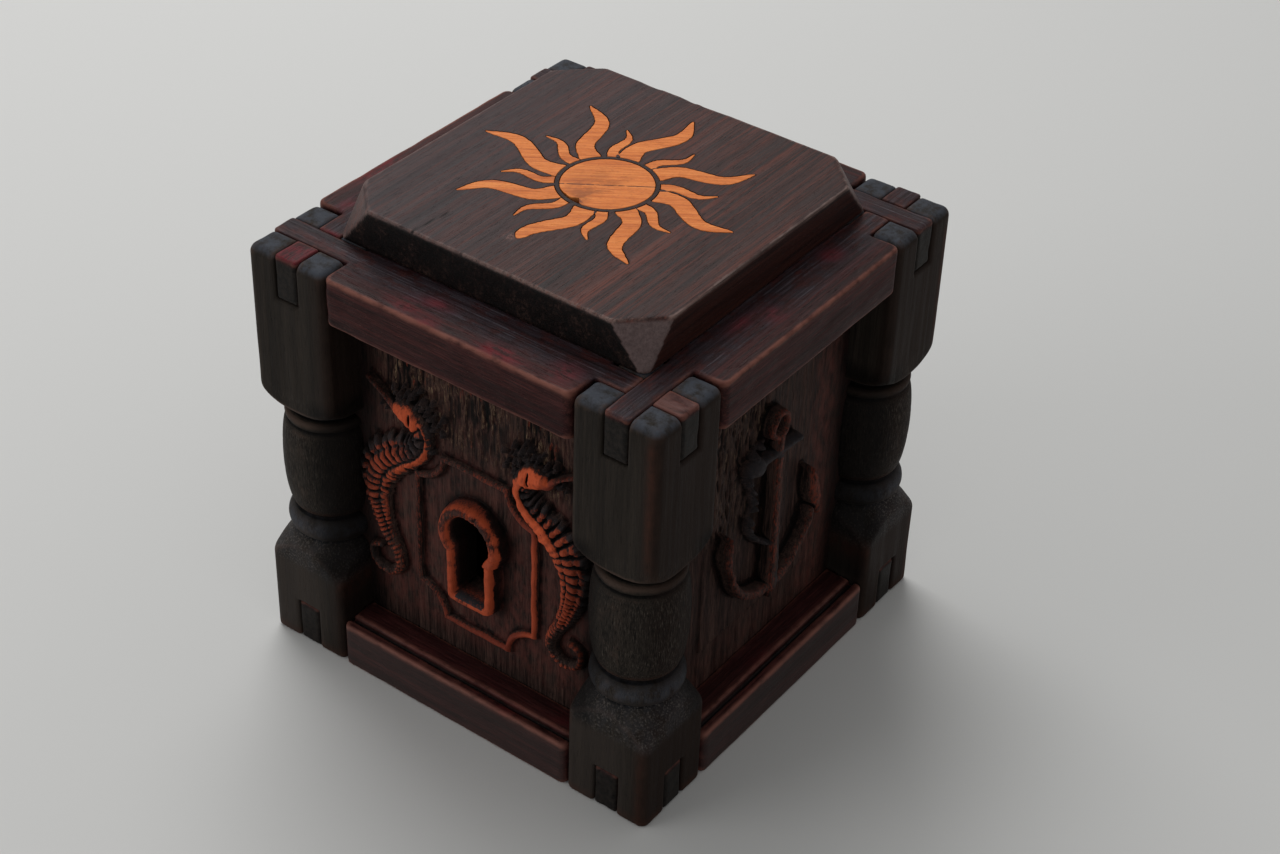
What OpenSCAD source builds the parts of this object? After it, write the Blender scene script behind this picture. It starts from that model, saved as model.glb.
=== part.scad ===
// Wooden puzzle box: turned corner posts, through-tongued rails, carved panels,
// a lift-off lid with a sun inlay, and a sliding lock behind the keyhole.
// Millimetres. Origin at the middle of the footprint on the table, +Z up.
// -Y is the front with the keyhole, +X is the right side with the anchor.

/* [Box] */
// Width and depth over the corner posts
box_w = 100; // [98:0.5:130]
// Height of the corner posts
post_h = 98.4; // [94:0.2:130]
// Side of the square corner posts
post_w = 20; // [18:0.25:21]
// Radius on the long edges of the posts
post_edge_r = 1; // [0.4:0.1:1.6]

/* [Turning on the posts] */
// Height of the square block at the foot of a post, at its corners
foot_block_h = 20.4; // [17:0.2:22]
// Height of the square block at the head of a post, at its corners
head_block_h = 31; // [28:0.5:34]
// Height of the sloping shoulder over the foot block
foot_shoulder_h = 8.1; // [6.5:0.1:9]
// Height of the bead between foot and barrel
bead_h = 5.7; // [4:0.1:6.5]
// Height of the ring over the barrel
ring_h = 2.2; // [1.4:0.1:3]
// Height of the neck under the head block
neck_h = 2; // [1:0.1:3]
// Height of the rounded shoulder under the head block
head_shoulder_h = 6; // [4.5:0.1:7]
// How far the barrel stays inside the faces of the post
barrel_inset = 0.05; // [0.05:0.05:1.5]
// Depth of the neck inside the faces of the post
neck_inset = 2.6; // [1.5:0.1:3]
// Radius of the bead, inside the faces of the post by this much
bead_inset = 0.3; // [0.2:0.1:1.2]
// Radius of the ring, inside the faces of the post by this much
ring_inset = 0.9; // [0.4:0.1:1.3]

/* [Rails] */
// Height of the rails between the posts
rail_h = 10.8; // [10.4:0.1:13]
// Thickness of the tongues that pass through the post slots
tongue_w = 5.6; // [4.6:0.1:6.6]
// Height of the tongues, and depth of the post slots
tongue_h = 10.2; // [8:0.1:10.2]
// Clearance on each side of glued wooden joints
joint_fit = 0.05; // [0.02:0.01:0.12]
// Distance of the bead groove on the bottom rails from their outer face
rail_groove_in = 2.2; // [1.4:0.1:4]
// Width of the bead groove on the bottom rails
rail_groove_w = 1.2; // [0.6:0.1:1.8]
// Depth of the bead groove on the bottom rails
rail_groove_depth = 1.2; // [0.5:0.1:2]

/* [Panels] */
// Distance of the panel faces behind the outer faces of the posts
panel_setback = 9.7; // [9:0.1:10.4]
// Thickness of the panels without their carving
panel_t = 4; // [3:0.1:4.6]
// Depth of the grooves that hold the panels in posts and rails
panel_let_in = 2; // [1.2:0.1:2.6]
// Thickness of the bottom board
bottom_t = 3; // [2:0.1:5]
// Gap around the loose bottom board
bottom_gap = 0.2; // [0.1:0.05:0.5]

/* [Keyhole] */
// Radius of the round head of the keyhole
key_r = 5.05; // [4.4:0.05:5.3]
// Width of the straight foot of the keyhole
key_w = 7.5; // [6:0.1:8.6]
// Height of the bottom of the keyhole above the table
key_bottom = 29.4; // [26:0.1:33]
// Height of the middle of the keyhole's round head above the table
key_head = 45.05; // [42:0.05:46]
// Width of the moulding around the keyhole
key_frame_w = 3.1; // [2:0.1:3.6]
// Height of the moulding around the keyhole above the panel
key_frame_h = 4.4; // [2:0.1:6]

/* [Carving] */
// Half width of the cartouche around the keyhole
cartouche_half_w = 15.8; // [14:0.1:16.2]
// Gap between the keyhole and the top and bottom of the cartouche
cartouche_gap = 11.1; // [8:0.1:12]
// Radius of the scooped corners of the cartouche
cartouche_scoop_r = 7; // [5:0.1:7.6]
// Width of the raised line of the cartouche
cartouche_line_w = 1.6; // [1:0.1:2.2]
// Height of the raised line of the cartouche above the panel
cartouche_h = 2; // [0.8:0.1:3]
// Height of the sea horses above the panel
horse_h = 3.4; // [1.5:0.1:5]
// Height of the raised field behind the anchor
field_h = 0.8; // [0.4:0.1:1.5]
// Distance of the raised field from the posts and the rails
field_margin = 10; // [7:0.5:12]
// Height of the anchor above the panel
anchor_h = 4.6; // [2:0.1:6]
// Height of the rope on the anchor above the panel
rope_h = 3; // [1.6:0.1:4.4]

/* [Lid] */
// Width of the rail tops that the lid leaves bare
lid_reveal = 12.5; // [10:0.1:14]
// Height of the lid above the posts
lid_t = 9.1; // [7:0.1:14]
// Width cut off the lid's corners at its top
lid_clip_top = 8.5; // [5:0.1:9.5]
// Width cut off the lid's corners at its bottom
lid_clip_base = 1.3; // [0.6:0.1:3]
// Thickness of the plug board under the lid
plug_t = 5; // [3:0.1:7]
// Gap between the plug board and the rails
plug_gap = 0.25; // [0.15:0.05:0.6]

/* [Sun inlay] */
// Diameter of the sun's disc
sun_d = 18.8; // [15:0.1:20]
// Thickness of the inlaid wood
inlay_t = 1.2; // [0.8:0.1:3]
// Dark gap around each inlaid piece
inlay_gap = 0.25; // [0.1:0.05:0.4]
// Distance of the roots of the rays from the disc
ray_root_gap = 1; // [0.7:0.1:2]
// Number of long rays, with as many short ones between them
ray_pairs = 8; // [6:1:8]
// Reach of the long rays from the middle of the sun
long_ray_reach = 29.8; // [24:0.1:30.5]
// Width of the long rays at their roots
long_ray_w = 3.9; // [2.5:0.1:4.2]
// Reach of the short rays from the middle of the sun
short_ray_reach = 20.8; // [17:0.1:23]
// Width of the short rays at their roots
short_ray_w = 2.3; // [1.5:0.1:2.5]

/* [Lock] */
// Height of the lock bolt
bolt_h = 6; // [5:0.1:7]
// Thickness of the lock bolt
bolt_t = 6; // [5:0.1:6.5]
// Travel of the lock bolt from unlocked to locked
bolt_travel = 7; // [6:0.1:7.5]
// Running clearance around the lock bolt
bolt_gap = 0.1; // [0.05:0.01:0.3]
// Width of the lug on the bolt that a key pushes
lug_w = 3; // [2.4:0.1:3.4]
// Reach of the lug below the bolt
lug_drop = 8.6; // [6:0.1:10]
// Thickness of the board that carries the lock
lock_board_t = 2.9; // [2:0.1:3]
// Width of each bolt guide along the bolt
guide_w = 6; // [5:0.1:6.5]
// Wood around the bolt in its guides
guide_wall = 3; // [2.6:0.1:3.4]
// Diameter of the pegs that fasten the guides
peg_d = 1.4; // [1:0.1:1.6]
// Width of the hasp that hangs from the lid
hasp_w = 6; // [4.5:0.1:6.5]
// Thickness of the hasp that hangs from the lid
hasp_t = 5; // [4.4:0.1:6]
// Length of the hasp below its notch for the bolt
hasp_tail = 4; // [3:0.1:8]
// Diameter of the gravity pin
pin_d = 3; // [2.4:0.1:3.6]
// Length of the gravity pin
pin_len = 10; // [8:0.1:11]
// Rise of the gravity pin when the box is turned over
pin_rise = 4; // [3:0.1:4.2]
// Radial clearance of the gravity pin in its bore
pin_gap = 0.1; // [0.05:0.01:0.2]

/* [Hidden] */
SIDES = ["front", "right", "back", "left"];
POSTS = ["left", "front", "right", "back"];

$fn = 64;
eps = 0.5; // overlap of shapes that are fused or cut
quarter = 90; // turn from one side of the box to the next

post_r = post_w / 2;
post_mid = box_w / 2 - post_r; // post and rail centre lines, from the middle
inner_half = box_w / 2 - post_w; // inner faces of posts and rails
panel_half_h = post_h / 2 - rail_h;
panel_mid_h = post_h / 2;
panel_face = -box_w / 2 + panel_setback;
panel_back = panel_face + panel_t;

// Turned profile, heights up the post
turn_z = foot_block_h;
bead_z = turn_z + foot_shoulder_h;
barrel_z = bead_z + bead_h;
neck_top_z = post_h - head_block_h - head_shoulder_h;
neck_z = neck_top_z - neck_h;
ring_z = neck_z - ring_h;
corner_r = post_r * sqrt(2) + eps;
barrel_r = post_r - barrel_inset;
neck_r = post_r - neck_inset;
bead_r = post_r - bead_inset;
ring_r = post_r - ring_inset;
barrel_waist = 0.55; // height of the widest place of the barrel, as a share of it
curve_steps = 9;

// Carving is drawn for panels with this visible size, and follows the real one
drawn_half_w = 30;
drawn_half_h = 38.4;
drawn_mid_h = 49.2;
carve_scale = min(inner_half / drawn_half_w, panel_half_h / drawn_half_h);

// Spines of the carving: across, up and width at each point
HORSE_BODY = [
    [17.2, 69.4, 2.2], [15.4, 67.2, 5.4], [13.2, 63.6, 4.6], [15.2, 59.6, 5.4],
    [20, 56.6, 7.4], [24.6, 52.4, 7.6], [26.6, 47, 5.4], [26, 41, 4],
    [23.8, 35, 3.4], [21.2, 30.4, 2.9], [20.8, 26.6, 2.4], [23.6, 23.8, 2.1],
    [27.2, 25, 1.9], [27.8, 28.6, 1.6], [25.2, 30, 1.2]
];
HORSE_SNOUT = [[15.4, 67.6, 4], [18.4, 69, 2.2], [22.6, 70.6, 1.5], [26.6, 72.6, 2]];
HORSE_FIN = [[12.6, 58.2, 0.8], [13.4, 60.4, 3.4], [16.6, 60.8, 5]];
ANCHOR_ROPE = [
    [-2.6, 66.4, 1.8], [-6.8, 65.6, 1.8], [-9, 60.6, 1.8], [-6.2, 55.6, 1.8], [-5, 50.6, 1.8],
    [-6.6, 46, 1.8], [-3.6, 41.6, 1.8], [0, 39, 1.8]
];
spine_steps = 4;

// Anchor, about the middle of the panel
anchor_ring_z = 69;
anchor_ring_r = 3.5;
anchor_ring_hole_r = 1.8;
anchor_shank_w = 3.4;
anchor_stock_z = 62;
anchor_stock_half = 9.6;
anchor_stock_h = 3;
anchor_crown_z = 25.6;
anchor_arm_r = 17.2;
anchor_arm_w = 3.4;
anchor_arm_angle = 74; // each arm, from straight down
anchor_fluke_l = 11;
anchor_fluke_w = 7;

// Lock, measured from the keyhole's round head
lock_top = key_head + key_r;
bolt_z = lock_top + 1.5;
bolt_y = panel_back + lock_board_t + bolt_gap;
lug_x = -4.5;
guide_left_x = lug_x - bolt_gap - guide_w;
guide_right_x = lug_x + lug_w + bolt_travel + bolt_gap;
hasp_gap = 0.5; // between the withdrawn bolt and the hasp, and around the notch
hasp_x = guide_right_x + guide_w + 1.4;
bolt_end = hasp_x - hasp_gap;
bolt_start = -26;
hasp_y = -inner_half + plug_gap + 0.2;
bolt_bite = bolt_y + bolt_t - hasp_y;
pin_x = -15;
pin_slack = 0.3; // between the pin and the notches in the bolt
pin_floor = 3; // wood under the pin
pin_top_gap = 0.6; // between the resting pin and the bolt
pin_block_gap = 0.2;
pin_z = bolt_z - pin_top_gap - pin_len;
pin_block_w = pin_d + 2 * pin_gap + 4.6;
lock_board_left = bolt_start - 1;
lock_board_right = hasp_x + hasp_w;

lid_half = box_w / 2 - lid_reveal;
plug_half = inner_half - plug_gap;
hasp_bottom = bolt_z - hasp_gap - hasp_tail;

// ---------- shapes ----------

// Half an ellipse or less, from angle a0 to a1
function bow(cx, cy, rx, ry, a0, a1, n) =
    [for (i = [0 : n]) let (a = a0 + (a1 - a0) * i / n) [cx + rx * cos(a), cy + ry * sin(a)]];

// One point of a smooth curve through p1 and p2
function blend(p0, p1, p2, p3, t) =
    0.5 * (2 * p1 + (p2 - p0) * t + (2 * p0 - 5 * p1 + 4 * p2 - p3) * t * t
        + (3 * p1 - p0 - 3 * p2 + p3) * t * t * t);

// A smooth curve through every point of a spine
function smooth(p, n) = [
    for (i = [0 : len(p) - 2], k = [0 : n - 1])
        blend(p[max(i - 1, 0)], p[i], p[i + 1], p[min(i + 2, len(p) - 1)], k / n),
    p[len(p) - 1]
];

function side_step(p, i) =
    let (a = p[max(i - 1, 0)], b = p[min(i + 1, len(p) - 1)], d = [b.x - a.x, b.y - a.y])
    [-d.y, d.x] / norm(d);

// Outline of a band along a spine with its width at each point
function band(p) = concat(
    [for (i = [0 : len(p) - 1]) [p[i].x, p[i].y] + side_step(p, i) * p[i].z / 2],
    [for (i = [len(p) - 1 : -1 : 0]) [p[i].x, p[i].y] - side_step(p, i) * p[i].z / 2]
);

module rounded_square(side, r) {
    inner = side - 2 * r;
    square([side, inner], center = true);
    square([inner, side], center = true);
    for (x = [-1, 1], y = [-1, 1])
        translate([x * inner / 2, y * inner / 2])
            circle(r);
}

// Box between two corners
module block(a, b) {
    translate(a)
        cube(b - a);
}

// ---------- corner posts ----------

function post_profile() = concat(
    [[0, 0], [corner_r, 0], [corner_r, turn_z - eps]],
    [[post_r * sqrt(2), turn_z], [post_r - 1.5, bead_z]],
    bow(post_r - 1.5, bead_z + bead_h / 2, bead_r - post_r + 1.5, bead_h / 2, -80, 80, 8),
    [[neck_r, barrel_z]],
    [for (i = [1 : curve_steps])
        let (u = i / curve_steps)
        [neck_r + (barrel_r - neck_r) * sqrt(1 - (1 - u) * (1 - u)),
            barrel_z + (ring_z - barrel_z) * barrel_waist * u]],
    [for (i = [1 : curve_steps])
        let (u = i / curve_steps, low = post_r - 1.4)
        [low + (barrel_r - low) * sqrt(1 - u * u),
            barrel_z + (ring_z - barrel_z) * (barrel_waist + (1 - barrel_waist) * u)]],
    bow(ring_r - 0.6, ring_z + ring_h / 2, 0.6, ring_h / 2, -70, 70, 6),
    [[neck_r, neck_z], [neck_r, neck_top_z]],
    bow(neck_r, neck_top_z + head_shoulder_h, post_r * sqrt(2) - neck_r, head_shoulder_h, -80, 0, 8),
    [[corner_r, neck_top_z + head_shoulder_h + eps], [corner_r, post_h], [0, post_h]]
);

// Slots in both ends of a post for the tongues of two rails
module post_slots() {
    slot = tongue_w + 2 * joint_fit;
    depth = tongue_h + joint_fit;
    for (z = [-eps, post_h - depth], long = [[post_w + 2, slot], [slot, post_w + 2]])
        translate([-long.x / 2, -long.y / 2, z])
            cube([long.x, long.y, depth + eps]);
}

// Groove along the inner face of a post for the edge of a panel
module post_panel_groove() {
    low = rail_h;
    groove_y = -post_r + panel_setback - joint_fit;
    translate([post_r - panel_let_in - joint_fit, groove_y, low])
        cube([panel_let_in + joint_fit + eps, panel_t + 2 * joint_fit, post_h - 2 * low]);
}

module post_solid() {
    difference() {
        intersection() {
            linear_extrude(post_h)
                rounded_square(post_w, post_edge_r);
            rotate_extrude()
                polygon(post_profile());
        }
        post_slots();
        post_panel_groove();
        mirror([1, -1, 0])
            post_panel_groove();
    }
}

module post(turn) {
    color("#2b2725")
        rotate(turn * quarter)
            translate([-post_mid, -post_mid, 0])
                post_solid();
}

// ---------- rails ----------

// A rail lies along X with its tongue low; the post at -X takes it under its neighbour
module rail_solid(grooved) {
    reach = post_mid;
    body_half = inner_half - joint_fit;
    lap = tongue_w + 2 * joint_fit;
    half_lap = tongue_h / 2;
    difference() {
        union() {
            block([-body_half, -post_r, 0], [body_half, post_r, rail_h]);
            block([-box_w / 2, -tongue_w / 2, 0], [box_w / 2, tongue_w / 2, tongue_h - joint_fit]);
        }
        block([-reach - lap / 2, -lap / 2, half_lap - joint_fit],
            [-reach + lap / 2, lap / 2, rail_h + eps]);
        block([reach - lap / 2, -lap / 2, -eps], [reach + lap / 2, lap / 2, half_lap]);
        block([-body_half, -post_r + panel_setback - joint_fit, rail_h - panel_let_in - joint_fit],
            [body_half, -post_r + panel_setback + panel_t + joint_fit, rail_h + eps]);
        if (grooved)
            block([-body_half, -post_r + rail_groove_in, rail_h - rail_groove_depth],
                [body_half, -post_r + rail_groove_in + rail_groove_w, rail_h + eps]);
    }
}

module bottom_rail(turn) {
    color("#3c2222")
        rotate(turn * quarter)
            translate([0, -post_mid, 0])
                rail_solid(true);
}

module top_rail(turn) {
    color("#462629")
        rotate(turn * quarter)
            translate([0, -post_mid, post_h])
                mirror([0, 0, 1])
                    rail_solid(false);
}

// ---------- panels ----------

// A panel stands in the XZ plane with its face at Y = 0; its ears sit in the posts
module panel_plate() {
    half = inner_half - 2 * joint_fit;
    ear_half = inner_half + panel_let_in - joint_fit;
    low = rail_h - panel_let_in;
    block([-half, 0, low], [half, panel_t, post_h - low]);
    block([-ear_half, 0, rail_h + joint_fit], [ear_half, panel_t, post_h - rail_h - joint_fit]);
}

// Raises a flat shape drawn across and up from the face of a panel
module raised(h) {
    translate([0, eps, 0])
        rotate([90, 0, 0])
            linear_extrude(h + eps)
                children();
}

// Fits carving drawn for the standard panel to this one
module fitted() {
    translate([0, panel_mid_h])
        scale(carve_scale)
            translate([0, -drawn_mid_h])
                children();
}

module place_panel(turn) {
    rotate(turn * quarter)
        translate([0, panel_face, 0])
            children();
}

// The keyhole's outline, grown by a margin
module keyhole(margin) {
    foot_half = key_w / 2 + margin;
    translate([0, key_head])
        circle(key_r + margin);
    translate([-foot_half, key_bottom - margin])
        square([2 * foot_half, key_head - key_bottom + margin]);
}

// A rectangle with scooped corners around the keyhole
module cartouche(inset) {
    half_h = (lock_top - key_bottom) / 2 + cartouche_gap;
    middle = (lock_top + key_bottom) / 2;
    translate([0, middle])
        difference() {
            square([2 * (cartouche_half_w - inset), 2 * (half_h - inset)], center = true);
            for (x = [-1, 1], y = [-1, 1])
                translate([x * cartouche_half_w, y * half_h])
                    circle(cartouche_scoop_r + inset);
        }
}

module sea_horse() {
    fitted() {
        polygon(band(smooth(HORSE_BODY, spine_steps)));
        polygon(band(smooth(HORSE_SNOUT, spine_steps)));
        polygon(band(smooth(HORSE_FIN, spine_steps)));
    }
}

module front_panel() {
    color("#231d1a")
        place_panel(0)
            difference() {
                union() {
                    panel_plate();
                    raised(key_frame_h)
                        keyhole(key_frame_w);
                    raised(cartouche_h)
                        difference() {
                            cartouche(0);
                            cartouche(cartouche_line_w);
                        }
                    raised(horse_h)
                        sea_horse();
                    raised(horse_h)
                        mirror([1, 0])
                            sea_horse();
                }
                translate([0, panel_t + eps, 0])
                    rotate([90, 0, 0])
                        linear_extrude(panel_t + key_frame_h + 2 * eps)
                            keyhole(0);
            }
}

// The rectangular field that stands out from the middle of a side panel
module raised_field() {
    half_w = inner_half - field_margin;
    half_h = panel_half_h - field_margin;
    raised(field_h)
        translate([0, panel_mid_h])
            square([2 * half_w, 2 * half_h], center = true);
}

// The palm and bill at the end of an anchor's arm, pointing up
module fluke() {
    polygon([
        [0, anchor_fluke_l * 0.62], [anchor_fluke_w * 0.36, anchor_fluke_l * 0.18],
        [anchor_fluke_w * 0.5, -anchor_fluke_l * 0.28], [0, -anchor_fluke_l * 0.1],
        [-anchor_fluke_w * 0.5, -anchor_fluke_l * 0.28], [-anchor_fluke_w * 0.36, anchor_fluke_l * 0.18]
    ]);
}

module anchor() {
    arm_mid_z = anchor_crown_z + anchor_arm_r;
    difference() {
        translate([0, anchor_ring_z])
            circle(anchor_ring_r);
        translate([0, anchor_ring_z])
            circle(anchor_ring_hole_r);
    }
    translate([-anchor_shank_w / 2, anchor_crown_z])
        square([anchor_shank_w, anchor_ring_z - anchor_ring_r - anchor_crown_z + 0.6]);
    translate([-anchor_stock_half, anchor_stock_z - anchor_stock_h / 2])
        square([2 * anchor_stock_half, anchor_stock_h]);
    polygon(concat(
        bow(0, arm_mid_z, anchor_arm_r, anchor_arm_r, -90 - anchor_arm_angle, -90 + anchor_arm_angle, 20),
        bow(0, arm_mid_z, anchor_arm_r - anchor_arm_w, anchor_arm_r - anchor_arm_w,
            -90 + anchor_arm_angle, -90 - anchor_arm_angle, 20)
    ));
    for (s = [-1, 1])
        translate([0, arm_mid_z])
            rotate(s * anchor_arm_angle)
                translate([0, -anchor_arm_r + anchor_arm_w / 2])
                    rotate(-s * (anchor_arm_angle - 8))
                        fluke();
}

module right_panel() {
    color("#241e1b")
        place_panel(1) {
            panel_plate();
            raised_field();
            raised(anchor_h)
                fitted()
                    anchor();
            raised(rope_h)
                fitted()
                    polygon(band(smooth(ANCHOR_ROPE, spine_steps)));
        }
}

module plain_panel(turn) {
    color("#231d1a")
        place_panel(turn) {
            panel_plate();
            raised_field();
        }
}

// ---------- bottom ----------

module bottom_board() {
    half = -panel_back - bottom_gap;
    notch = inner_half - bottom_gap;
    color("#3a2a22")
        difference() {
            block([-half, -half, rail_h], [half, half, rail_h + bottom_t]);
            for (turn = [0 : 3])
                rotate(turn * quarter)
                    block([notch, notch, rail_h - eps], [box_w, box_w, rail_h + bottom_t + eps]);
        }
}

// ---------- lid ----------

// Sideways swing of a ray at a share t of its length
function ray_swing(t, size) = size * (1 - 0.45 * t) * cos(360 * (t - 0.19) / 1.05);

// Outline of a wavy ray along X, grown by a margin
function ray_outline(root, tip, width, margin) =
    let (
        n = 18,
        start = root - margin,
        end = tip + margin,
        spine = [for (i = [0 : n])
            let (r = start + (end - start) * i / n, t = (r - root) / (tip - root))
            [r, ray_swing(t, width * 0.72),
                width * (1 - 0.32 * t) * sqrt(max(0.04, 1 - pow(max(t, 0), 5))) + 2 * margin]]
    )
    band(spine);

module rays(first_turn, tip, width, margin) {
    root = sun_d / 2 + ray_root_gap;
    for (i = [0 : ray_pairs - 1])
        rotate(first_turn + i * 360 / ray_pairs)
            polygon(ray_outline(root, tip, width, margin));
}

module long_rays(margin) {
    rays(0, long_ray_reach, long_ray_w, margin);
}

module short_rays(margin) {
    rays(180 / ray_pairs, short_ray_reach, short_ray_w, margin);
}

// Sloping cuts that take a triangle off each corner of the lid
module lid_corner_cuts() {
    base_out = lid_half * sqrt(2) - lid_clip_base / sqrt(2);
    lean = atan((lid_clip_top - lid_clip_base) / sqrt(2) / lid_t);
    span = 4 * lid_clip_top;
    for (turn = [0 : 3])
        rotate(45 + turn * quarter)
            translate([base_out, 0, post_h])
                rotate([0, -lean, 0])
                    translate([0, -span / 2, -span / 2])
                        cube([span, span, 2 * span]);
}

module lid_board() {
    color("#46302f")
        difference() {
            block([-lid_half, -lid_half, post_h], [lid_half, lid_half, post_h + lid_t]);
            lid_corner_cuts();
            translate([0, 0, post_h + lid_t - inlay_t])
                linear_extrude(inlay_t + eps) {
                    circle(sun_d / 2 + inlay_gap);
                    long_rays(inlay_gap);
                    short_rays(inlay_gap);
                }
        }
}

module inlay() {
    color("#c87d46")
        translate([0, 0, post_h + lid_t - inlay_t])
            linear_extrude(inlay_t)
                children();
}

module sun_disc() {
    inlay()
        circle(sun_d / 2);
}

module sun_long_rays() {
    inlay()
        long_rays(0);
}

module sun_short_rays() {
    inlay()
        short_rays(0);
}

module lid_plug() {
    color("#3a2a24")
        block([-plug_half, -plug_half, post_h - plug_t], [plug_half, plug_half, post_h]);
}

// A strip under the lid with a notch that the bolt slides into
module lid_hasp() {
    notch_top = bolt_z + bolt_h + hasp_gap;
    color("#4b342b")
        difference() {
            block([hasp_x, hasp_y, hasp_bottom], [hasp_x + hasp_w, hasp_y + hasp_t, post_h - plug_t]);
            block([hasp_x - eps, hasp_y - eps, bolt_z - hasp_gap],
                [hasp_x + hasp_w + eps, hasp_y + bolt_bite + bolt_gap, notch_top]);
        }
}

// ---------- lock ----------

module lock_board() {
    low = pin_z - pin_floor;
    high = bolt_z + bolt_h + guide_wall;
    window_half = key_r + 2;
    color("#4a372e")
        difference() {
            block([lock_board_left, panel_back, low], [lock_board_right, panel_back + lock_board_t, high]);
            block([-window_half, panel_back - eps, low - eps],
                [window_half, panel_back + lock_board_t + eps, lock_top + 0.4]);
            peg_places(peg_d / 2 + joint_fit, bolt_y - lock_board_t);
        }
}

// Cylinders at the four pegs, from y out through the guides
module peg_places(r, y) {
    length = bolt_y + bolt_t + guide_wall - y;
    for (x = [guide_left_x, guide_right_x], z = [bolt_z - guide_wall / 2, bolt_z + bolt_h + guide_wall / 2])
        translate([x + guide_w / 2, y, z])
            rotate([-90, 0, 0])
                cylinder(h = length, r = r, $fn = 32);
}

module bolt_guides() {
    front = bolt_y + bolt_t + guide_wall;
    color("#52392f")
        difference() {
            for (x = [guide_left_x, guide_right_x])
                difference() {
                    block([x, bolt_y - bolt_gap, bolt_z - guide_wall],
                        [x + guide_w, front, bolt_z + bolt_h + guide_wall]);
                    block([x - eps, bolt_y - bolt_gap - eps, bolt_z - bolt_gap],
                        [x + guide_w + eps, bolt_y + bolt_t + bolt_gap, bolt_z + bolt_h + bolt_gap]);
                }
            peg_places(peg_d / 2 + joint_fit, bolt_y - eps);
        }
}

module guide_pegs() {
    color("#8a6a4c")
        peg_places(peg_d / 2, bolt_y - bolt_gap - lock_board_t + 0.6);
}

module lock_bolt() {
    notch_half = pin_d / 2 + pin_slack;
    color("#6a4632")
        difference() {
            union() {
                block([bolt_start, bolt_y, bolt_z], [bolt_end, bolt_y + bolt_t, bolt_z + bolt_h]);
                block([lug_x, bolt_y, bolt_z - lug_drop], [lug_x + lug_w, bolt_y + bolt_t, bolt_z + eps]);
            }
            for (x = [pin_x, pin_x - bolt_travel])
                block([x - notch_half, bolt_y - eps, bolt_z - eps],
                    [x + notch_half, bolt_y + bolt_t + eps, bolt_z + pin_rise - pin_top_gap + 0.4]);
        }
}

module pin_block() {
    top = bolt_z - pin_block_gap;
    color("#52392f")
        difference() {
            block([pin_x - pin_block_w / 2, bolt_y - bolt_gap, pin_z - pin_floor],
                [pin_x + pin_block_w / 2, bolt_y + bolt_t + 1, top]);
            translate([pin_x, bolt_y + bolt_t / 2, pin_z])
                cylinder(h = pin_len + 2, r = pin_d / 2 + pin_gap);
        }
}

module gravity_pin() {
    color("#b9a184")
        translate([pin_x, bolt_y + bolt_t / 2, pin_z])
            cylinder(h = pin_len, r = pin_d / 2);
}

for (i = [0 : 3]) {
    post(i);
    top_rail(i);
    bottom_rail(i);
}
front_panel();
right_panel();
plain_panel(2);  // back_panel
plain_panel(3);  // left_panel
bottom_board();
lid_board();
lid_plug();
lid_hasp();
sun_disc();
sun_long_rays();
sun_short_rays();
lock_board();
bolt_guides();
guide_pegs();
pin_block();
lock_bolt();
gravity_pin();
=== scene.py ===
import math

import bpy
import numpy as np
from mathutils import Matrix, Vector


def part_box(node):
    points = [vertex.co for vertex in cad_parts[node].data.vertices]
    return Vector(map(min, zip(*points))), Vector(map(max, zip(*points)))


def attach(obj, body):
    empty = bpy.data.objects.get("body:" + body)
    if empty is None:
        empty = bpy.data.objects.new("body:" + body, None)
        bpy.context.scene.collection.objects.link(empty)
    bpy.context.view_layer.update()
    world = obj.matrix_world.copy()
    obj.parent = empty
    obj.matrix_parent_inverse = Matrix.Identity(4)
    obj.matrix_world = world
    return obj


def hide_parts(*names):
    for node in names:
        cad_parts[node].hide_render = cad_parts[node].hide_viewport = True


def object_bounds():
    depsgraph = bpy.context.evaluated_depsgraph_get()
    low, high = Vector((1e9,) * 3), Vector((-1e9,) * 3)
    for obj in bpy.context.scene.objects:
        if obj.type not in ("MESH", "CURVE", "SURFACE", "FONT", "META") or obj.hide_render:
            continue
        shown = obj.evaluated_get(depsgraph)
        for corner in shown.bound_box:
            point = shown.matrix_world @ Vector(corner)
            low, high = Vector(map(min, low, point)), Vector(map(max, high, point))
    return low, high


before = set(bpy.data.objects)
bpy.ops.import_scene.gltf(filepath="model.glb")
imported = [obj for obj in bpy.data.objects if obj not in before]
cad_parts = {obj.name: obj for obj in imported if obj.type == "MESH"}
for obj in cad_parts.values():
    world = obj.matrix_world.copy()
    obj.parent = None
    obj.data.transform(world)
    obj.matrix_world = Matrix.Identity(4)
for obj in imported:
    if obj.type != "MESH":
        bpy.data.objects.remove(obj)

import openvdb

CAD_LOW, CAD_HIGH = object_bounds()
MM = 0.001

# Quarter turns from the front piece, or from the left front post
SIDES = ("front", "right", "back", "left")
POSTS = ("left", "front", "right", "back")


# ---------------------------------------------------------------- sizes, mm
def extent(node, axis):
    """Size of a solid along an axis."""
    low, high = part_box(node)
    return round((high[axis] - low[axis]) / MM, 2)


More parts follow.
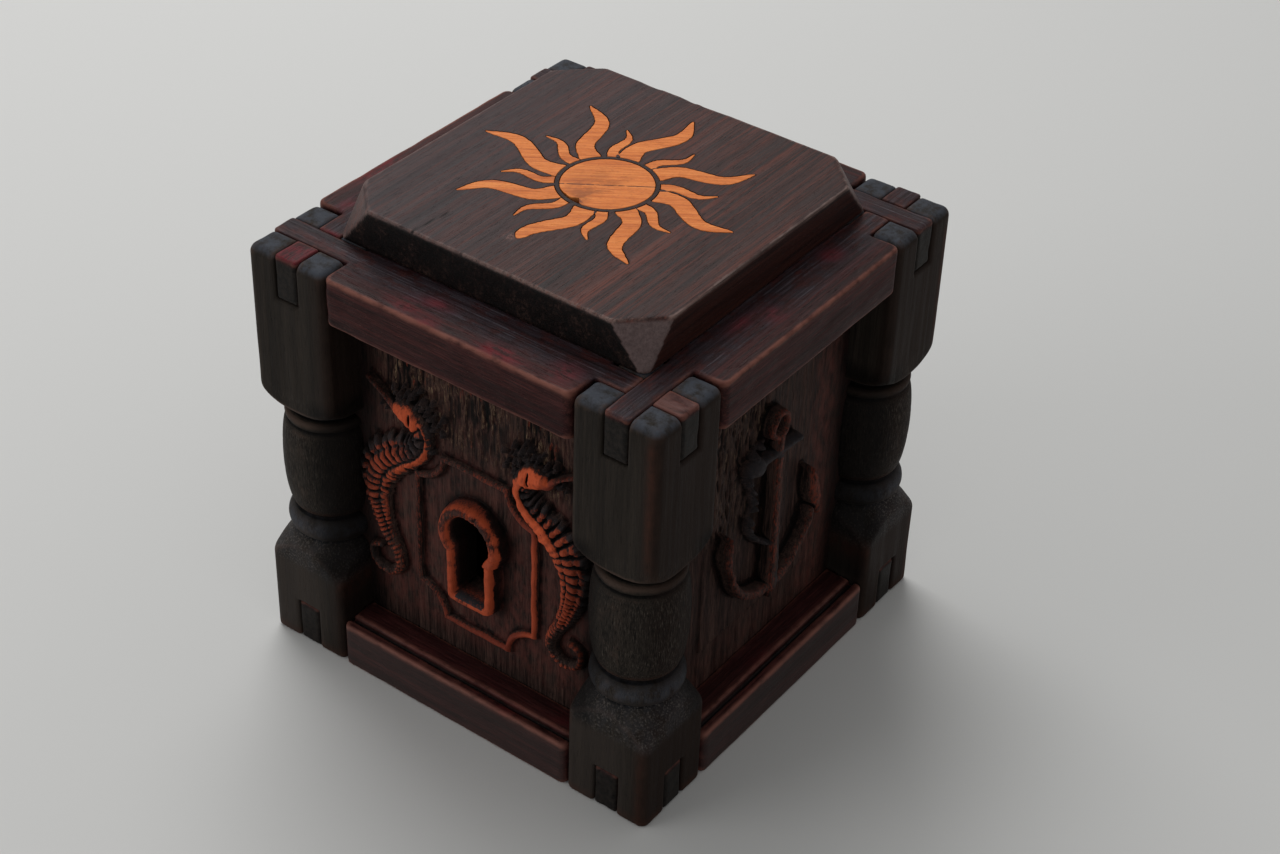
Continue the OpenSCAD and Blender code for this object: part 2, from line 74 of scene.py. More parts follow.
BOX_W = round((CAD_HIGH[0] - CAD_LOW[0]) / MM, 2)
POST_W, POST_H = extent("post_front", 0), extent("post_front", 2)
HALF_W = BOX_W / 2
POST_MID = (BOX_W - POST_W) / 2
INNER = HALF_W - POST_W
RAIL_H = extent("top_rail_front", 2)
TONGUE_W, TONGUE_H = 5.6, 10.2
FIT = 0.05
PANEL_FACE = -HALF_W + 9.7
PANEL_T = 4.0
PANEL_HALF = 32.6
LID_HALF, LID_T = extent("lid_board", 0) / 2, extent("lid_board", 2)
CLIP_TOP, CLIP_BASE = 8.5, 1.3
INLAY_T = 1.2
SUN_R = 9.4
KEY_R, KEY_W, KEY_LOW, KEY_HEAD = 5.05, 7.5, 29.4, 45.05


# ---------------------------------------------------------------- numbers
def srgb(r, g, b):
    """A linear colour from 0-255 display values."""
    def one(v):
        v /= 255
        return v / 12.92 if v <= 0.04045 else ((v + 0.055) / 1.055) ** 2.4
    return (one(r), one(g), one(b), 1.0)


def step(low, high, v):
    """Smooth step from 0 at low to 1 at high."""
    t = np.clip((v - low) / (high - low), 0, 1)
    return t * t * (3 - 2 * t)


def window(v, a, b, c, d):
    """0 below a, 1 between b and c, and 0 above d."""
    return step(a, b, v) * (1 - step(c, d, v))


def hill(v, middle, width):
    """A bell of height 1 at middle."""
    return np.exp(-((v - middle) / width) ** 2)


def both(a, b, r):
    """Inside both shapes, with edges of radius r."""
    return np.minimum(np.maximum(a, b), -r) + np.hypot(np.maximum(a + r, 0), np.maximum(b + r, 0))


def either(a, b, r):
    """Inside either shape, with inner corners of radius r."""
    return -both(-a, -b, r)


def between(v, low, high):
    """How far v is outside two faces, less than 0 between them."""
    return np.abs(v - (low + high) / 2) - (high - low) / 2


def box3(x, y, z, low, high):
    """Signed distance to a box."""
    q = [between(v, a, b) for v, a, b in zip((x, y, z), low, high)]
    out = np.sqrt(sum(np.maximum(v, 0) ** 2 for v in q))
    return out + np.minimum(np.maximum(np.maximum(q[0], q[1]), q[2]), 0)


def soft_box(x, y, z, low, high, r):
    """Signed distance to a box with rounded edges."""
    return box3(x, y, z, [a + r for a in low], [b - r for b in high]) - r


def meeting(a, b):
    """Signed distance to a right-angled corner, from the distances past its two faces."""
    return np.hypot(np.maximum(a, 0), np.maximum(b, 0)) + np.minimum(np.maximum(a, b), 0)


def box2(x, z, half_x, low, high):
    """Signed distance to a rectangle that is symmetric about x = 0."""
    return meeting(np.abs(x) - half_x, between(z, low, high))


def waves(axes, sizes, seed, amount=1.0):
    """Smooth random values over a regular grid, with lumps of the given size along each axis."""
    rng = np.random.default_rng(seed)
    blends = []
    for axis, size in zip(axes, sizes):
        u = (np.ravel(axis) - np.min(axis)) / size + rng.random()
        i = np.floor(u).astype(int)
        w = step(0, 1, u - i)
        blend = np.zeros((len(u), i.max() + 2), np.float32)
        blend[np.arange(len(u)), i] = 1 - w
        blend[np.arange(len(u)), i + 1] = w
        blends.append(blend)
    out = rng.uniform(-amount, amount, [b.shape[1] for b in blends]).astype(np.float32)
    for n, blend in enumerate(blends):
        out = np.moveaxis(np.tensordot(blend, out, (1, n)), 0, n)
    return out


def blur(a, n):
    """Two box averages over 2 n + 1 cells along each axis."""
    for axis in range(a.ndim):
        for _ in range(2):
            wide = [(0, 0)] * a.ndim
            wide[axis] = (n + 1, n)
            total = np.cumsum(np.pad(a, wide, mode="edge"), axis=axis, dtype=np.float64)
            length = a.shape[axis]
            late = np.take(total, range(2 * n + 1, 2 * n + 1 + length), axis)
            early = np.take(total, range(length), axis)
            a = ((late - early) / (2 * n + 1)).astype(np.float32)
    return a


def sample(grid, at):
    """Linear interpolation of a grid at points in cells."""
    at = np.clip(at, 0, np.array(grid.shape) - 1.001)
    base = at.astype(int)
    part = at - base
    out = 0
    for corner in range(2 ** grid.ndim):
        bits = [(corner >> k) & 1 for k in range(grid.ndim)]
        weight = np.prod([part[:, k] if b else 1 - part[:, k] for k, b in enumerate(bits)], axis=0)
        out = out + weight * grid[tuple(base[:, k] + b for k, b in enumerate(bits))]
    return out


def turned(p, quarters):
    """Points turned about Z by quarter turns."""
    for _ in range(quarters):
        p = np.stack([-p[:, 1], p[:, 0], p[:, 2]], axis=1)
    return p


# ---------------------------------------------------------------- meshes
def placed(name, mesh):
    """An object in the scene from a mesh."""
    mesh.validate()
    ob = bpy.data.objects.new(name, mesh)
    bpy.context.scene.collection.objects.link(ob)
    return ob


def quad_mesh(name, points, quads):
    """An object from points in mm and rows of four corners."""
    mesh = bpy.data.meshes.new(name)
    mesh.vertices.add(len(points))
    mesh.vertices.foreach_set("co", (points * MM).astype(np.float32).ravel())
    mesh.loops.add(quads.size)
    mesh.loops.foreach_set("vertex_index", quads.astype(np.int32).ravel())
    mesh.polygons.add(len(quads))
    mesh.polygons.foreach_set("loop_start", np.arange(0, quads.size, 4, dtype=np.int32))
    mesh.polygons.foreach_set("use_smooth", np.ones(len(quads), bool))
    mesh.update(calc_edges=True)
    return placed(name, mesh)


def put(ob, name, values):
    """Writes a value or a vector for each vertex."""
    values = np.asarray(values, np.float32)
    kind, key = ("FLOAT", "value") if values.ndim == 1 else ("FLOAT_VECTOR", "vector")
    ob.data.attributes.new(name, kind, "POINT").data.foreach_set(key, values.ravel())


def carve(name, field, low, high, cell, grain, quarter=0, seed=0, edge=0.6, masks=None):
    """A piece from a signed distance field in mm. grain is the order of axes that puts the
    wood's grain first. Each vertex keeps its place in the wood, how sharp its edge is and
    the values of masks."""
    axes = [np.arange(a - 3 * cell, b + 4 * cell, cell, dtype=np.float32) for a, b in zip(low, high)]
    x, y, z = axes[0][:, None, None], axes[1][None, :, None], axes[2][None, None, :]
    d = np.broadcast_to(field(x, y, z), tuple(len(a) for a in axes)).astype(np.float32)
    grid = openvdb.FloatGrid(9.0)
    grid.copyFromArray(np.ascontiguousarray(d))
    at, _, quads = grid.convertToPolygons(isovalue=0.0, adaptivity=0.0)
    near = np.clip(d, -2, 2)
    sharp = sample(blur(near, max(1, round(edge / cell))) - near, at) / edge
    p = np.array([a[0] for a in axes]) + at * cell
    first = p[quads[:, :3]]
    volume = np.einsum("ij,ij->i", first[:, 0], np.cross(first[:, 1], first[:, 2])).sum()
    if volume < 0:
        quads = quads[:, ::-1]
    ob = quad_mesh(name, turned(p, quarter), quads)
    rng = np.random.default_rng(seed + 500)
    put(ob, "wood", p[:, list(grain)] + rng.uniform(-300, 300, 3))
    put(ob, "sharp", sharp)
    for mask, values in (masks(p) if masks else {}).items():
        put(ob, mask, values)
    return ob


def dress(ob, body, slot, node):
    """Gives a piece its body and its material, and hides the solid that it stands for."""
    ob.data.materials.clear()
    ob.data.materials.append(WOODS[slot])
    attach(ob, body)
    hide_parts(node)


# ---------------------------------------------------------------- materials
WOODS = {}  # the material of each slot


class Look:
    """The nodes of a material or a world."""

    def __init__(self, owner):
        self.owner = owner
        owner.use_nodes = True
        self.tree = owner.node_tree
        self.tree.nodes.clear()

    def node(self, kind, **settings):
        n = self.tree.nodes.new(kind)
        for key, value in settings.items():
            setattr(n, key, value)
        return n

    def feed(self, socket, value):
        if isinstance(value, bpy.types.NodeSocket):
            self.tree.links.new(value, socket)
        else:
            socket.default_value = value

    def value(self, name, output="Fac"):
        """A value that the mesh holds for each vertex."""
        return self.node("ShaderNodeAttribute", attribute_name=name).outputs[output]

    def math(self, op, a, b=0.0, clamp=False):
        n = self.node("ShaderNodeMath", operation=op, use_clamp=clamp)
        self.feed(n.inputs[0], a)
        self.feed(n.inputs[1], b)
        return n.outputs[0]

    def times(self, a, b):
        return self.math("MULTIPLY", a, b)

    def plus(self, a, b):
        return self.math("ADD", a, b)

    def less(self, a, b):
        return self.math("SUBTRACT", a, b)

    def mask(self, name, share):
        """A share of one of the mesh's masks."""
        return self.times(self.value(name), share)

    def noise(self, at, lengthwise, crosswise, detail, rough, shift=(0, 0, 0), bend=0.0):
        """Noise in the wood, in lumps per mm along and across its grain."""
        scaled = self.node("ShaderNodeVectorMath", operation="MULTIPLY_ADD")
        self.feed(scaled.inputs[0], at)
        scaled.inputs[1].default_value = (lengthwise, crosswise, crosswise)
        scaled.inputs[2].default_value = shift
        n = self.node("ShaderNodeTexNoise")
        self.feed(n.inputs["Vector"], scaled.outputs[0])
        for key, number in (("Scale", 1), ("Detail", detail), ("Roughness", rough), ("Distortion", bend)):
            n.inputs[key].default_value = number
        return n.outputs["Fac"]

    def span(self, v, low, high, to_low=0.0, to_high=1.0):
        n = self.node("ShaderNodeMapRange", interpolation_type="SMOOTHSTEP")
        self.feed(n.inputs["Value"], v)
        for key, number in zip(("From Min", "From Max", "To Min", "To Max"), (low, high, to_low, to_high)):
            n.inputs[key].default_value = number
        return n.outputs["Result"]

    def mix(self, share, a, b):
        n = self.node("ShaderNodeMix", data_type="RGBA", clamp_factor=True)
        self.feed(n.inputs["Factor"], share)
        colours = [s for s in n.inputs if s.type == "RGBA"]
        self.feed(colours[0], a)
        self.feed(colours[1], b)
        return [s for s in n.outputs if s.type == "RGBA"][0]

    def stain(self, colour, share, *tone):
        """A colour with a share of a 0-255 tone over it."""
        return self.mix(share, colour, srgb(*tone))

    def ramp(self, v, *stops):
        """A ramp through stops of a place and a 0-255 tone."""
        n = self.node("ShaderNodeValToRGB")
        elements = n.color_ramp.elements
        while len(elements) < len(stops):
            elements.new(0.5)
        for element, (at, tone) in zip(elements, stops):
            element.position = at
            element.color = srgb(*tone)
        self.feed(n.inputs["Fac"], v)
        return n.outputs["Color"]

    def bump(self, height, depth):
        """Height times depth in mm."""
        n = self.node("ShaderNodeBump")
        n.inputs["Strength"].default_value = 1.0
        n.inputs["Distance"].default_value = depth * MM
        self.feed(n.inputs["Height"], height)
        return n.outputs["Normal"]

    def finish(self, colour, roughness, shine, normal=None):
        n = self.node("ShaderNodeBsdfPrincipled")
        self.feed(n.inputs["Base Color"], colour)
        self.feed(n.inputs["Roughness"], roughness)
        n.inputs["Specular IOR Level"].default_value = shine
        if normal:
            self.feed(n.inputs["Normal"], normal)
        out = self.node("ShaderNodeOutputMaterial")
        self.feed(out.inputs["Surface"], n.outputs[0])
        return self.owner


def wood(name, tones, bands, fibre, pores, coarse, rough, shine, depth, crease_shade, edge=None, edge_at=None,
         paint=None):
    """Wood with growth bands, fibres and pores along its grain, rubbed edges and painted shade in its corners
    and creases.
    tones are dark, middle and light, coarse is the size of its figure, depth is its bump in mm."""
    k = Look(bpy.data.materials.new(name))
    at = k.value("wood", "Vector")
    s = 1 / coarse
    band = k.noise(at, 0.012 * s, 0.22 * s, 4, 0.6, bend=0.6)
    streak = k.noise(at, 0.022 * s, s, 6, 0.66, (7, 3, 1), 0.2)
    fine = k.noise(at, 0.16 * s, 6 * s, 3, 0.65, (3, 9, 5))
    pore = k.noise(at, 0.3 * s, 4.2 * s, 2, 0.5, (11, 2, 8))
    patchy = k.noise(at, 0.25, 0.4, 4, 0.65, (5, 5, 9))
    cut = k.span(pore, 0.6, 0.72)
    tone = k.plus(k.times(band, bands), k.times(streak, 1 - bands))
    tone = k.plus(tone, k.times(k.less(fine, 0.5), fibre))
    colour = k.ramp(tone, *zip((0.36, 0.5, 0.65), tones))
    colour = k.stain(colour, k.times(cut, pores), *tones[0])
    sharp = k.value("sharp")
    # painted shade: concave creases and corners darkened
    colour = k.stain(colour, k.span(k.times(sharp, -1.0), 0.03, 0.3), *crease_shade)
    if edge:
        worn = k.plus(sharp, k.times(k.less(patchy, 0.5), 0.45))
        worn = k.plus(worn, k.times(k.less(streak, 0.5), 0.2))
        worn = k.less(worn, k.mask("seam", 0.3))
        colour = k.stain(colour, k.span(worn, *edge_at), *edge)
    height = k.less(k.plus(k.times(fine, 0.5), k.times(streak, 0.8)), cut)
    if paint:
        colour, height = paint(k, at, colour, height, patchy, streak)
    WOODS[name] = k.finish(colour, k.span(streak, 0.3, 0.7, *rough), shine, k.bump(height, depth))


def post_paint(k, at, colour, height, patchy, streak):
    """A painted bluish sheen on beads and prong tops, reddish front corner, speckled shoulders, painted shade
    on the east sides and beside the panels.
    """
    # painted shade: east-facing sides darker and browner
    colour = k.stain(colour, k.mask("brown", 0.65), 32, 20, 16)
    # painted bluish sheen on the beads, shoulders and prong tops
    colour = k.stain(colour, k.mask("cool", k.span(patchy, 0.28, 0.62)), 65, 68, 75)
    colour = k.stain(colour, k.mask("foot", 0.45), 62, 55, 51)
    speck = k.noise(at, 2.0, 2.4, 3, 0.7, (1, 4, 2))
    light = k.mask("speckle", k.span(speck, 0.5, 0.66))
    colour = k.stain(colour, k.times(light, 0.8), 98, 92, 88)
    dash = k.noise(at, 0.5, 5.0, 5, 0.78, (3, 2, 6))
    dashes = k.mask("dashes", k.span(dash, 0.52, 0.64))
    colour = k.stain(colour, k.times(dashes, 0.8), 94, 86, 78)
    colour = k.stain(colour, k.mask("dashes", k.span(dash, 0.47, 0.39)), 9, 8, 8)
    warm = k.mask("warm", k.span(patchy, 0.2, 0.65))
    colour = k.stain(colour, k.times(warm, 0.8), 72, 42, 32)
    # painted shade on the turned sides facing the panels and on the feet's inner faces
    colour = k.stain(colour, k.mask("dim", 0.75), 9, 7, 7)
    return colour, k.plus(height, k.times(k.plus(light, dashes), 1.2))


def rail_paint(k, at, colour, height, patchy, streak):
    """Salmon dry-brushed edges, magenta spots, grey-blue streaks on the tops, charred ends."""
    brush = k.noise(at, 0.03, 1.7, 6, 0.76, (9, 1, 6), 0.1)
    greys = (0.34, (20, 15, 17)), (0.47, (40, 33, 37)), (0.56, (54, 48, 54)), (0.7, (94, 90, 96))
    slate = k.ramp(brush, *greys)
    grey = k.mask("grey", k.span(patchy, 0.3, 0.6))
    colour = k.mix(k.times(grey, 0.85), colour, slate)
    colour = k.stain(colour, k.times(k.span(brush, 0.42, 0.3), 0.6), 20, 11, 12)
    speck = k.noise(at, 2.2, 3.6, 3, 0.7, (2, 6, 6))
    colour = k.stain(colour, k.times(k.span(speck, 0.6, 0.74), 0.35), 112, 84, 78)
    colour = k.stain(colour, k.mask("worn", 0.4), 66, 62, 60)
    salmon = k.mask("salmon", k.span(patchy, 0.22, 0.6))
    colour = k.stain(colour, k.times(salmon, 0.8), 138, 90, 78)
    red = k.mask("red", k.span(k.plus(patchy, k.times(brush, 0.5)), 0.6, 0.85))
    colour = k.stain(colour, k.times(red, 0.7), 112, 30, 38)
    colour = k.mix(k.value("end"), colour, k.ramp(streak, (0.36, (14, 12, 11)), (0.65, (42, 37, 34))))
    return colour, k.plus(height, k.times(k.times(grey, brush), 2.0))


def panel_paint(k, at, colour, height, patchy, streak):
    """Burnt orange rubbed on the carving, pale fibres and black pits where the wood is torn, painted shadow
    beside the carving and in the keyhole, a painted highlight on the keyhole's sill, and painted shade
    towards the posts.
    """
    red = k.mask("rosy", k.span(patchy, 0.3, 0.7))
    colour = k.stain(colour, k.times(red, 0.65), 94, 52, 46)
    torn = k.noise(at, 0.16, 2.6, 5, 0.74, (6, 6, 2), 0.1)
    grain = k.noise(at, 1.0, 2.8, 4, 0.8, (1, 6, 7))
    fibres = k.mask("torn", k.span(torn, 0.52, 0.64))
    ash = k.math("ADD", k.mask("ash", k.span(torn, 0.42, 0.6)), fibres, clamp=True)
    pale = k.mix(k.span(patchy, 0.35, 0.65), srgb(88, 60, 46), srgb(132, 112, 88))
    colour = k.mix(k.times(ash, k.span(grain, 0.4, 0.58)), colour, pale)
    # the pit mask holds torn pits and painted shadow beside the carving and in the keyhole
    hole = k.math("MAXIMUM", k.value("pit"), k.mask("torn", k.span(torn, 0.46, 0.36)))
    hole = k.math("MAXIMUM", hole, k.mask("torn", k.span(grain, 0.42, 0.34)))
    colour = k.stain(colour, hole, 6, 4, 4)
    # the slate mask also holds a painted grey highlight on the keyhole's sill
    colour = k.stain(colour, k.mask("slate", k.span(patchy, 0.2, 0.5)), 50, 48, 51)
    speck = k.noise(at, 0.9, 2.8, 4, 0.7, (2, 8, 3))
    orange = k.plus(k.value("orange"), k.times(k.less(speck, 0.5), 1.3))
    orange = k.plus(orange, k.times(k.math("MINIMUM", k.value("sharp"), 0.0), 1.9))
    share = k.times(k.span(orange, 0.25, 0.7), k.span(k.value("orange"), 0.02, 0.12))
    colour = k.mix(share, colour, k.mix(k.value("hot"), srgb(122, 55, 41), srgb(206, 92, 56)))
    # painted shade towards the posts
    colour = k.stain(colour, k.mask("dim", 0.85), 8, 6, 6)
    return colour, k.plus(height, k.times(k.mask("torn", torn), 3.0))


def lid_paint(k, at, colour, height, patchy, streak):
    """Straight grain with reddish and dark lines, a painted slate sheen on one side, a pale painted sheen on
    the corner facets, dark fuzzy end grain.
    """
    line = k.noise(at, 0.008, 0.75, 5, 0.68, (8, 8, 1))
    colour = k.stain(colour, k.times(k.span(line, 0.53, 0.68), 0.6), 104, 52, 39)
    colour = k.stain(colour, k.times(k.span(line, 0.47, 0.36), 0.65), 16, 7, 7)
    thin = k.noise(at, 0.016, 2.4, 4, 0.7, (5, 1, 8))
    colour = k.stain(colour, k.times(k.span(thin, 0.54, 0.66), 0.5), 96, 54, 44)
    colour = k.stain(colour, k.times(k.span(thin, 0.46, 0.34), 0.6), 14, 7, 7)
    # painted slate sheen on the left of the top
    colour = k.stain(colour, k.mask("cool", 0.4), 52, 44, 49)
    fuzz = k.noise(at, 1.3, 1.3, 5, 0.8, (4, 1, 7))
    lumps = k.noise(at, 0.3, 0.3, 2, 0.5, (1, 1, 7))
    end = k.value("end")
    fur = k.plus(fuzz, k.times(k.less(lumps, 0.5), 0.5))
    colour = k.mix(end, colour, k.ramp(fur, (0.42, (6, 4, 4)), (0.56, (20, 12, 11)), (0.8, (66, 48, 42))))
    colour = k.mix(k.mask("side", 0.9), colour, k.ramp(streak, (0.34, (14, 5, 5)), (0.66, (56, 26, 20))))
    # painted pale sheen on the corner facets, full on the front and back ones
    colour = k.mix(k.mask("facet_sheen", 0.9), colour, k.ramp(fuzz, (0.3, (82, 68, 67)), (0.75, (126, 108, 106))))
    crack = k.value("crack")
    colour = k.stain(colour, crack, 10, 6, 6)
    colour = k.stain(colour, k.mask("rim", 0.75), 22, 14, 13)
    colour = k.stain(colour, k.mask("smear", k.span(fuzz, 0.4, 0.6)), 150, 112, 104)
    height = k.less(height, k.times(crack, 4.0))
    return colour, k.plus(height, k.times(k.times(end, fuzz), 2.4))


def inlay_paint(k, at, colour, height, patchy, streak):
    """Dark specks of dust in the pores of the sun, a split across the disc and a burnt spot."""
    speck = k.noise(at, 1.1, 3.2, 3, 0.75, (6, 2, 9))
    colour = k.stain(colour, k.times(k.span(speck, 0.58, 0.72), 0.55), 140, 70, 34)
    mottle = k.noise(at, 0.7, 1.0, 4, 0.7, (2, 9, 4), 0.3)
    colour = k.stain(colour, k.times(k.span(mottle, 0.5, 0.7), 0.35), 180, 94, 46)
    apart = k.node("ShaderNodeSeparateXYZ")
    k.feed(apart.inputs[0], at)
    off = k.math("ABSOLUTE", k.plus(apart.outputs["Y"], 0.6))
    colour = k.stain(colour, k.times(k.span(off, 0.24, 0.08), k.span(mottle, 0.36, 0.48)), 84, 38, 22)
    colour = k.stain(colour, k.mask("burnt", k.span(patchy, 0.3, 0.6)), 86, 44, 32)
    return colour, height


wood(
    "post_wood", [(30, 26, 23), (41, 36, 32), (52, 46, 41)], bands=0.4, fibre=0.5, pores=0.4, coarse=0.9,
    rough=(0.5, 0.72), shine=0.06, depth=0.06, crease_shade=(6, 5, 5), edge=(68, 55, 48), edge_at=(0.12, 0.42),
    paint=post_paint)
wood(
    "rail_wood", [(28, 12, 12), (50, 24, 24), (79, 42, 40)], bands=0.45, fibre=0.6, pores=0.5, coarse=0.9,
    rough=(0.42, 0.62), shine=0.08, depth=0.05, crease_shade=(10, 6, 6), edge=(98, 60, 52), edge_at=(0.2, 0.5),
    paint=rail_paint)
wood(
    "panel_wood", [(19, 14, 13), (47, 35, 32), (76, 57, 51)], bands=0.3, fibre=0.8, pores=0.8, coarse=0.8,
    rough=(0.5, 0.75), shine=0.08, depth=0.1, crease_shade=(5, 3, 3), paint=panel_paint)
# On the lid, the pale rubbed edges are partly wear and partly a painted highlight along its top bevels.
wood(
    "lid_wood", [(28, 11, 11), (48, 24, 21), (86, 42, 32)], bands=0.5, fibre=0.4, pores=0.8, coarse=0.9,
    rough=(0.46, 0.56), shine=0.14, depth=0.03, crease_shade=(8, 5, 5), edge=(118, 96, 90), edge_at=(0.12, 0.36),
    paint=lid_paint)
wood(
    "inlay_wood", [(188, 96, 38), (226, 128, 62), (244, 154, 86)], bands=0.3, fibre=0.5, pores=0.3,
    coarse=0.6, rough=(0.45, 0.6), shine=0.12, depth=0.03, crease_shade=(110, 60, 36), paint=inlay_paint)
wood(
    "inner_wood", [(44, 31, 26), (66, 48, 40), (88, 66, 54)], bands=0.5, fibre=0.4, pores=0.5, coarse=1.0,
    rough=(0.55, 0.75), shine=0.25, depth=0.04, crease_shade=(22, 15, 12), edge=(100, 80, 66), edge_at=(0.16, 0.42))
wood(
    "lock_wood", [(84, 56, 40), (118, 84, 62), (146, 108, 82)], bands=0.5, fibre=0.4, pores=0.4, coarse=0.7,
    rough=(0.45, 0.65), shine=0.3, depth=0.03, crease_shade=(52, 34, 24), edge=(164, 128, 98), edge_at=(0.16, 0.42))
wood(
    "pale_wood", [(158, 132, 98), (184, 158, 122), (204, 182, 148)], bands=0.4, fibre=0.4, pores=0.3,
    coarse=0.6, rough=(0.4, 0.6), shine=0.3, depth=0.02, crease_shade=(112, 88, 62))


# ---------------------------------------------------------------- corner posts
FOOT_Z, BEAD_Z, BARREL_Z = 20.4, 28.5, 34.2
RING_Z, NECK_Z, NECK_TOP, HEAD_Z = 57.2, 59.4, 61.4, 67.4
POST_R = POST_W / 2
POST_EDGE_R = 1.9
CLEAR_R, FAR_R = 15.2, 16.0  # outside the corners of the square blocks
# Height and depth of each scratched line around the turned part
TURN_LINES = [
    (FOOT_Z + 7.2, 0.2), (BARREL_Z + 0.9, 0.25), (BARREL_Z + 1.9, 0.12), (BARREL_Z + 9, 0.08),
    (BARREL_Z + 16, 0.08), (RING_Z - 0.5, 0.3), (NECK_TOP - 0.4, 0.2)]


def round_part(first, last, count, z, z_r, r, r_r):
    """Heights and radii along part of an ellipse around z and r, from one angle to another."""
    angles = np.radians(np.linspace(first, last, count))
    return [(z + z_r * math.sin(a), r + r_r * math.cos(a)) for a in angles]


def turned_profile():
    """Height and radius of the turned part, as dense samples."""
    corner = POST_R * math.sqrt(2)
    at = [(-5, FAR_R), (FOOT_Z - 0.3, CLEAR_R), (FOOT_Z, corner), (FOOT_Z + 2, corner - 1.35)]
    at += [(FOOT_Z + 5, corner - 3.9), (BEAD_Z - 0.5, POST_R - 1.35), (BEAD_Z, POST_R - 1.9)]
    at += round_part(-78, 78, 15, BEAD_Z + 2.85, 2.8, POST_R - 2.3, 2.0)
    at.append((BARREL_Z, POST_R - 2.7))
    widest = BARREL_Z + 0.55 * (RING_Z - BARREL_Z)
    shares = np.linspace(0.08, 1, 12)
    low, high = widest - BARREL_Z, RING_Z - widest
    at += [(BARREL_Z + low * u, POST_R - 2.6 + 2.55 * math.sqrt(1 - (1 - u) ** 2)) for u in shares]
    at += [(widest + high * u, POST_R - 1.4 + 1.35 * math.sqrt(1 - u * u)) for u in shares]
    at += round_part(-70, 70, 9, RING_Z + 1.1, 1.1, POST_R - 1.55, 0.65)
    at += [(NECK_Z + 0.1, POST_R - 2.6), (NECK_TOP, POST_R - 2.6)]
    at += round_part(-80, 0, 12, HEAD_Z, 6, POST_R - 2.6, corner - POST_R + 2.6)
    at += [(HEAD_Z + 0.3, CLEAR_R), (120, FAR_R)]
    heights, radii = np.array(at).T
    order = np.argsort(heights, kind="stable")
    z = np.arange(-4, 104, 0.1)
    r = np.interp(z, heights[order], radii[order])
    return z, r - sum(depth * hill(z, line, 0.28) for line, depth in TURN_LINES)


TURN_Z, TURN_R = turned_profile()
TURN_SLOPE = np.gradient(TURN_R, TURN_Z)


